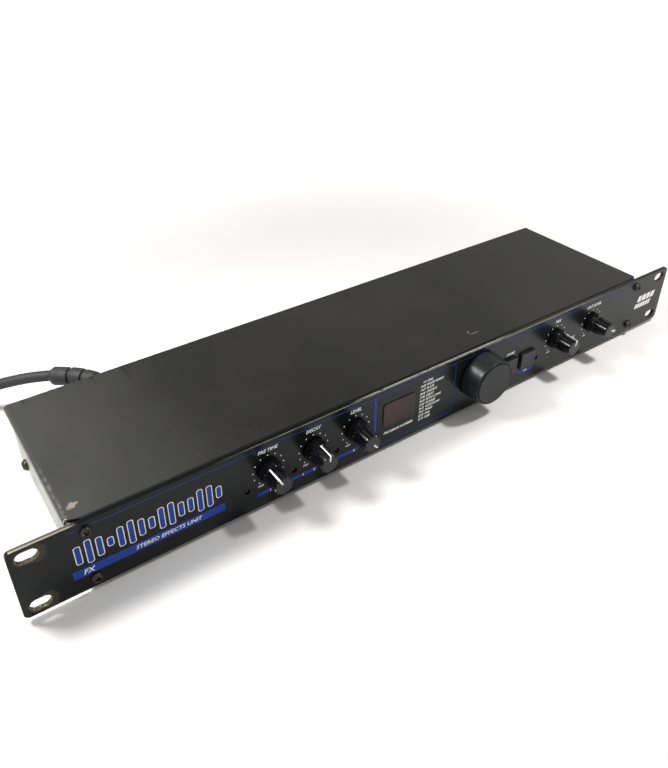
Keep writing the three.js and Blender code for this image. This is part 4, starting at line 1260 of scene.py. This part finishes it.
BOOT_SLITS = 4
BOOT_BODY = (5.4, 6.0)  # radius of the boot at the panel and at its free end


def boot_radius(share):
    """The boot's radius along its length: a collar, then segments parted by narrow slits."""
    if share < 0.10:
        return 7.6
    body = BOOT_BODY[0] + (BOOT_BODY[1] - BOOT_BODY[0]) * share
    end = 2.2 * smooth(0.93, 1.0, share) ** 2
    if not 0.2 < share < 0.86:
        return body - end
    phase = (share - 0.2) / 0.66 * BOOT_SLITS % 1 - 0.5
    return body - 1.3 * smooth(0.13, 0.05, abs(phase))


def cord_and_boot():
    path = cord_path()
    cord = bmesh.new()
    add_tube(cord, smooth_path(path, 150), lambda share: CORD_RADIUS)
    new_piece("mains_cord", cord, CORD_VINYL, "black_rubber", replaces=["power_cord"])
    boot = bmesh.new()
    add_tube(boot, smooth_path(path[2:6], 150), boot_radius, 40)
    bush = [(0, -5), (5.2, -5), (5.2, 0), (8.0, 0), (8.0, 3), (0, 3)]
    bush = curve_corner([(radius, COVER_BACK + y) for radius, y in bush], 0.7, 3)
    add_turned(boot, bush, 48, CORD_X, REAR_Z)
    new_piece("boot_sleeve", boot, CORD_VINYL, "black_rubber", replaces=["cord_boot"])


def superellipse(half_y, half_z, power, steps=40):
    points = []
    for i in range(steps):
        a = 2 * math.pi * i / steps
        c, s = math.cos(a), math.sin(a)
        y = half_y * math.copysign(abs(c) ** (2 / power), c)
        z = half_z * math.copysign(abs(s) ** (2 / power), s)
        points.append((y, z))
    return points


BLADE_LENGTH, BLADE_SIDE, BLADE_HALF = 17.0, 6.35, 0.75


def plug():
    """A moulded two-blade plug: a rounded body with finger grips and a waisted tail."""
    low, high, at = extent_mm("mains_plug")
    half_y, half_z = (high.y - low.y) / 2, (high.z - low.z) / 2
    face = low.x + BLADE_LENGTH
    rings = []
    for share in (station / 64 for station in range(65)):
        x = face + share * (high.x - face)
        width = half_y * (1 - 0.58 * smooth(0.35, 1.0, share))
        height = half_z * (1 - 0.38 * smooth(0.45, 1.0, share))
        grips = 0.5 - 0.5 * math.cos(2 * math.pi * 5 * (share - 0.3) / 0.5) if 0.3 < share < 0.8 else 0
        end = 1 - 0.16 * (1 - smooth(0.0, 0.05, share)) - 0.2 * smooth(0.97, 1.0, share)
        outline = superellipse(width * end - 0.7 * grips, height * end - 0.3 * grips, 3.2)
        rings.append([(x, at.y + y, at.z + z) for y, z in outline])
    bm = bmesh.new()
    add_rings(bm, rings)
    new_piece("plug_body", bm, CORD_VINYL, "black_rubber", replaces=["mains_plug"])
    blades = bmesh.new()
    for side in (-BLADE_SIDE, BLADE_SIDE):
        half = [(low.x, 2.2), (low.x + 1.2, 3.2), (face + 4, 3.2)]
        outline = [(x, -z) for x, z in half] + half[::-1]
        rings = [[(x, at.y + side + y, at.z + z) for x, z in outline] for y in (-BLADE_HALF, BLADE_HALF)]
        add_rings(blades, rings)
    bevel_edges(blades, 0.2)
    new_piece("plug_blades", blades, NICKEL, "nickel")


# ---- CAD nodes that are shown as they are ----

CARRIED = {
    "digit_display": CHIP_EPOXY,
    "front_board": SOLDER_MASK,
    "main_board": SOLDER_MASK,
    "ribbon_cable": RIBBON,
    "processor_chip": CHIP_EPOXY,
    "voltage_regulator": HEAT_SINK,
    "filter_capacitor": SLEEVE,
    "power_transformer": LAMINATIONS,
    "selector_shaft": SHAFT_METAL,
    "selector_encoder": GRAY_PLASTIC,
    "store_switch": BLACK_PLASTIC,
    "bypass_switch": BLACK_PLASTIC,
}
for _pot in POTS:
    CARRIED[_pot + "_shaft"] = SHAFT_METAL
    CARRIED[_pot + "_potentiometer"] = GRAY_PLASTIC


def dress_cad_nodes():
    for node, material in CARRIED.items():
        mesh_object = frame["nodes"][node]
        mesh_object.data.materials.clear()
        mesh_object.data.materials.append(material)


# ---- Build ----

panel_plate()
white_print()
wave_pattern()
corner_mark()
blue_print()
cover_shell()
tray_shell()
rear_plate()
screws()
feet()
for _pot in POTS:
    small_knob(_pot)
selector_knob()
for _button in BUTTONS:
    push_button(_button)
window_pane()
digits()
for _number in range(1, 5):
    indicator(_number)
for _number, _jack in enumerate(JACKS):
    jack(_jack, _number)
control_socket()
cord_and_boot()
plug()
dress_cad_nodes()

# ---- Stage, light and camera ----

FAR, FAR_LIFT = (270, 620), 0.74  # how far from the unit the floor starts to shine, and how strongly


def stage_floor():
    s = Shader("floor", (0.80, 0.793, 0.785), 0.6)
    s.cover(s.step(s.noise(260, 3), 0.4, 0.7), (0.82, 0.815, 0.805), 0.65)
    # Out of the lamps' reach the floor is lifted, so that it stays pale to the horizon.
    far = s.step(s.distance(s.math("ABSOLUTE", s.x), s.math("ABSOLUTE", s.y)), *FAR)
    s.look["Emission Color"] = (1.0, 0.985, 0.96)
    s.look["Emission Strength"] = s.all(far, FAR_LIFT)
    bm = bmesh.new()
    reach = 6000
    corners = [(-reach, -reach), (reach, -reach), (reach, reach), (-reach, reach)]
    add_rings(bm, [[(x, y, z) for x, y in corners] for z in (TABLE - 5, TABLE - 0.02)])
    mesh = made_mesh("floor", bm, TO_PART)
    mesh.materials.append(s.done())
    add_object("floor", mesh)


def soft_light(name, place, aim, size, power):
    """A square area light, in mm in the panel's frame."""
    data = bpy.data.lights.new(name, "AREA")
    data.shape = "RECTANGLE"
    data.size = data.size_y = size * MM
    data.energy = power
    data.color = (1.0, 0.995, 0.985)
    light = add_object(name, data)
    start, end = TO_PART @ Vector(place), TO_PART @ Vector(aim)
    light.location = start
    light.rotation_mode = "QUATERNION"
    light.rotation_quaternion = (end - start).to_track_quat("-Z", "Y")


# Strength of the room as it is mirrored, as it lights the unit, and as the camera sees its wall.
SKY, FILL, WALL = 0.60, 0.46, 0.93
# Brightness of the room to the left and to the right of the unit, against SKY.
SIDES = [(0.0, 1.35), (0.5, 1.35), (0.58, 1.1), (0.68, 0.8), (0.8, 0.8), (0.9, 1.15), (1.0, 1.3)]
# Two lamps near the unit: place, aim, size and power.
RIGHT_LAMP = (222, -126, 447), (330, -60, 0), 60, 1.9
LEFT_LAMP = (-345, 165, 390), (0, 0, 0), 130, 2.6


def room_light():
    world = bpy.data.worlds.new("studio")
    world.use_nodes = True
    nodes, links = world.node_tree.nodes, world.node_tree.links
    background = nodes["Background"]
    background.inputs["Color"].default_value = (1.0, 0.992, 0.98, 1)
    split = nodes.new("ShaderNodeSeparateXYZ")
    links.new(nodes.new("ShaderNodeTexCoord").outputs["Generated"], split.inputs[0])
    half = nodes.new("ShaderNodeMath")
    half.operation = "MULTIPLY_ADD"
    links.new(split.outputs["X"], half.inputs[0])
    half.inputs[1].default_value = 0.5
    half.inputs[2].default_value = 0.5
    sides = nodes.new("ShaderNodeValToRGB")
    elements = sides.color_ramp.elements
    for number, (place, share) in enumerate(SIDES):
        element = elements[number] if number < 2 else elements.new(place)
        element.position = place
        element.color = (share * SKY, share * SKY, share * SKY, 1)
    links.new(half.outputs[0], sides.inputs[0])
    seen = nodes.new("ShaderNodeLightPath")
    strength = sides.outputs[0]
    for ray, value in (("Is Diffuse Ray", FILL), ("Is Camera Ray", WALL)):
        choice = nodes.new("ShaderNodeMix")
        links.new(seen.outputs[ray], choice.inputs[0])
        links.new(strength, choice.inputs[2])
        choice.inputs[3].default_value = value
        strength = choice.outputs[0]
    links.new(strength, background.inputs["Strength"])
    bpy.context.scene.world = world


def lighting():
    room_light()
    soft_light("right_lamp", *RIGHT_LAMP)
    soft_light("left_lamp", *LEFT_LAMP)
    view = bpy.context.scene.view_settings
    view.view_transform = "Standard"
    view.look = "None"


CAMERA_PLACE = (-249.6, -260.1, 297.7)
CAMERA_AZIMUTH, CAMERA_ELEVATION, CAMERA_ROLL = -34.3, 32.68, -0.25
CAMERA_LENS = 34.53
CAMERA_SHIFT = (0.0156, -0.0605)


def camera():
    data = bpy.data.cameras.new("camera")
    data.lens = CAMERA_LENS
    data.sensor_width = 36
    data.sensor_fit = "AUTO"
    data.shift_x, data.shift_y = CAMERA_SHIFT
    data.clip_start, data.clip_end = 0.01, 50
    obj = add_object("camera", data)
    a, e = math.radians(CAMERA_AZIMUTH), math.radians(CAMERA_ELEVATION)
    back = Vector((math.sin(a) * math.cos(e), -math.cos(a) * math.cos(e), math.sin(e)))
    obj.location = TO_PART @ Vector(CAMERA_PLACE)
    obj.rotation_mode = "QUATERNION"
    roll = Matrix.Rotation(math.radians(CAMERA_ROLL), 3, back)
    obj.rotation_quaternion = (roll @ (-back).to_track_quat("-Z", "Y").to_matrix()).to_quaternion()
    bpy.context.scene.camera = obj


stage_floor()
lighting()
camera()
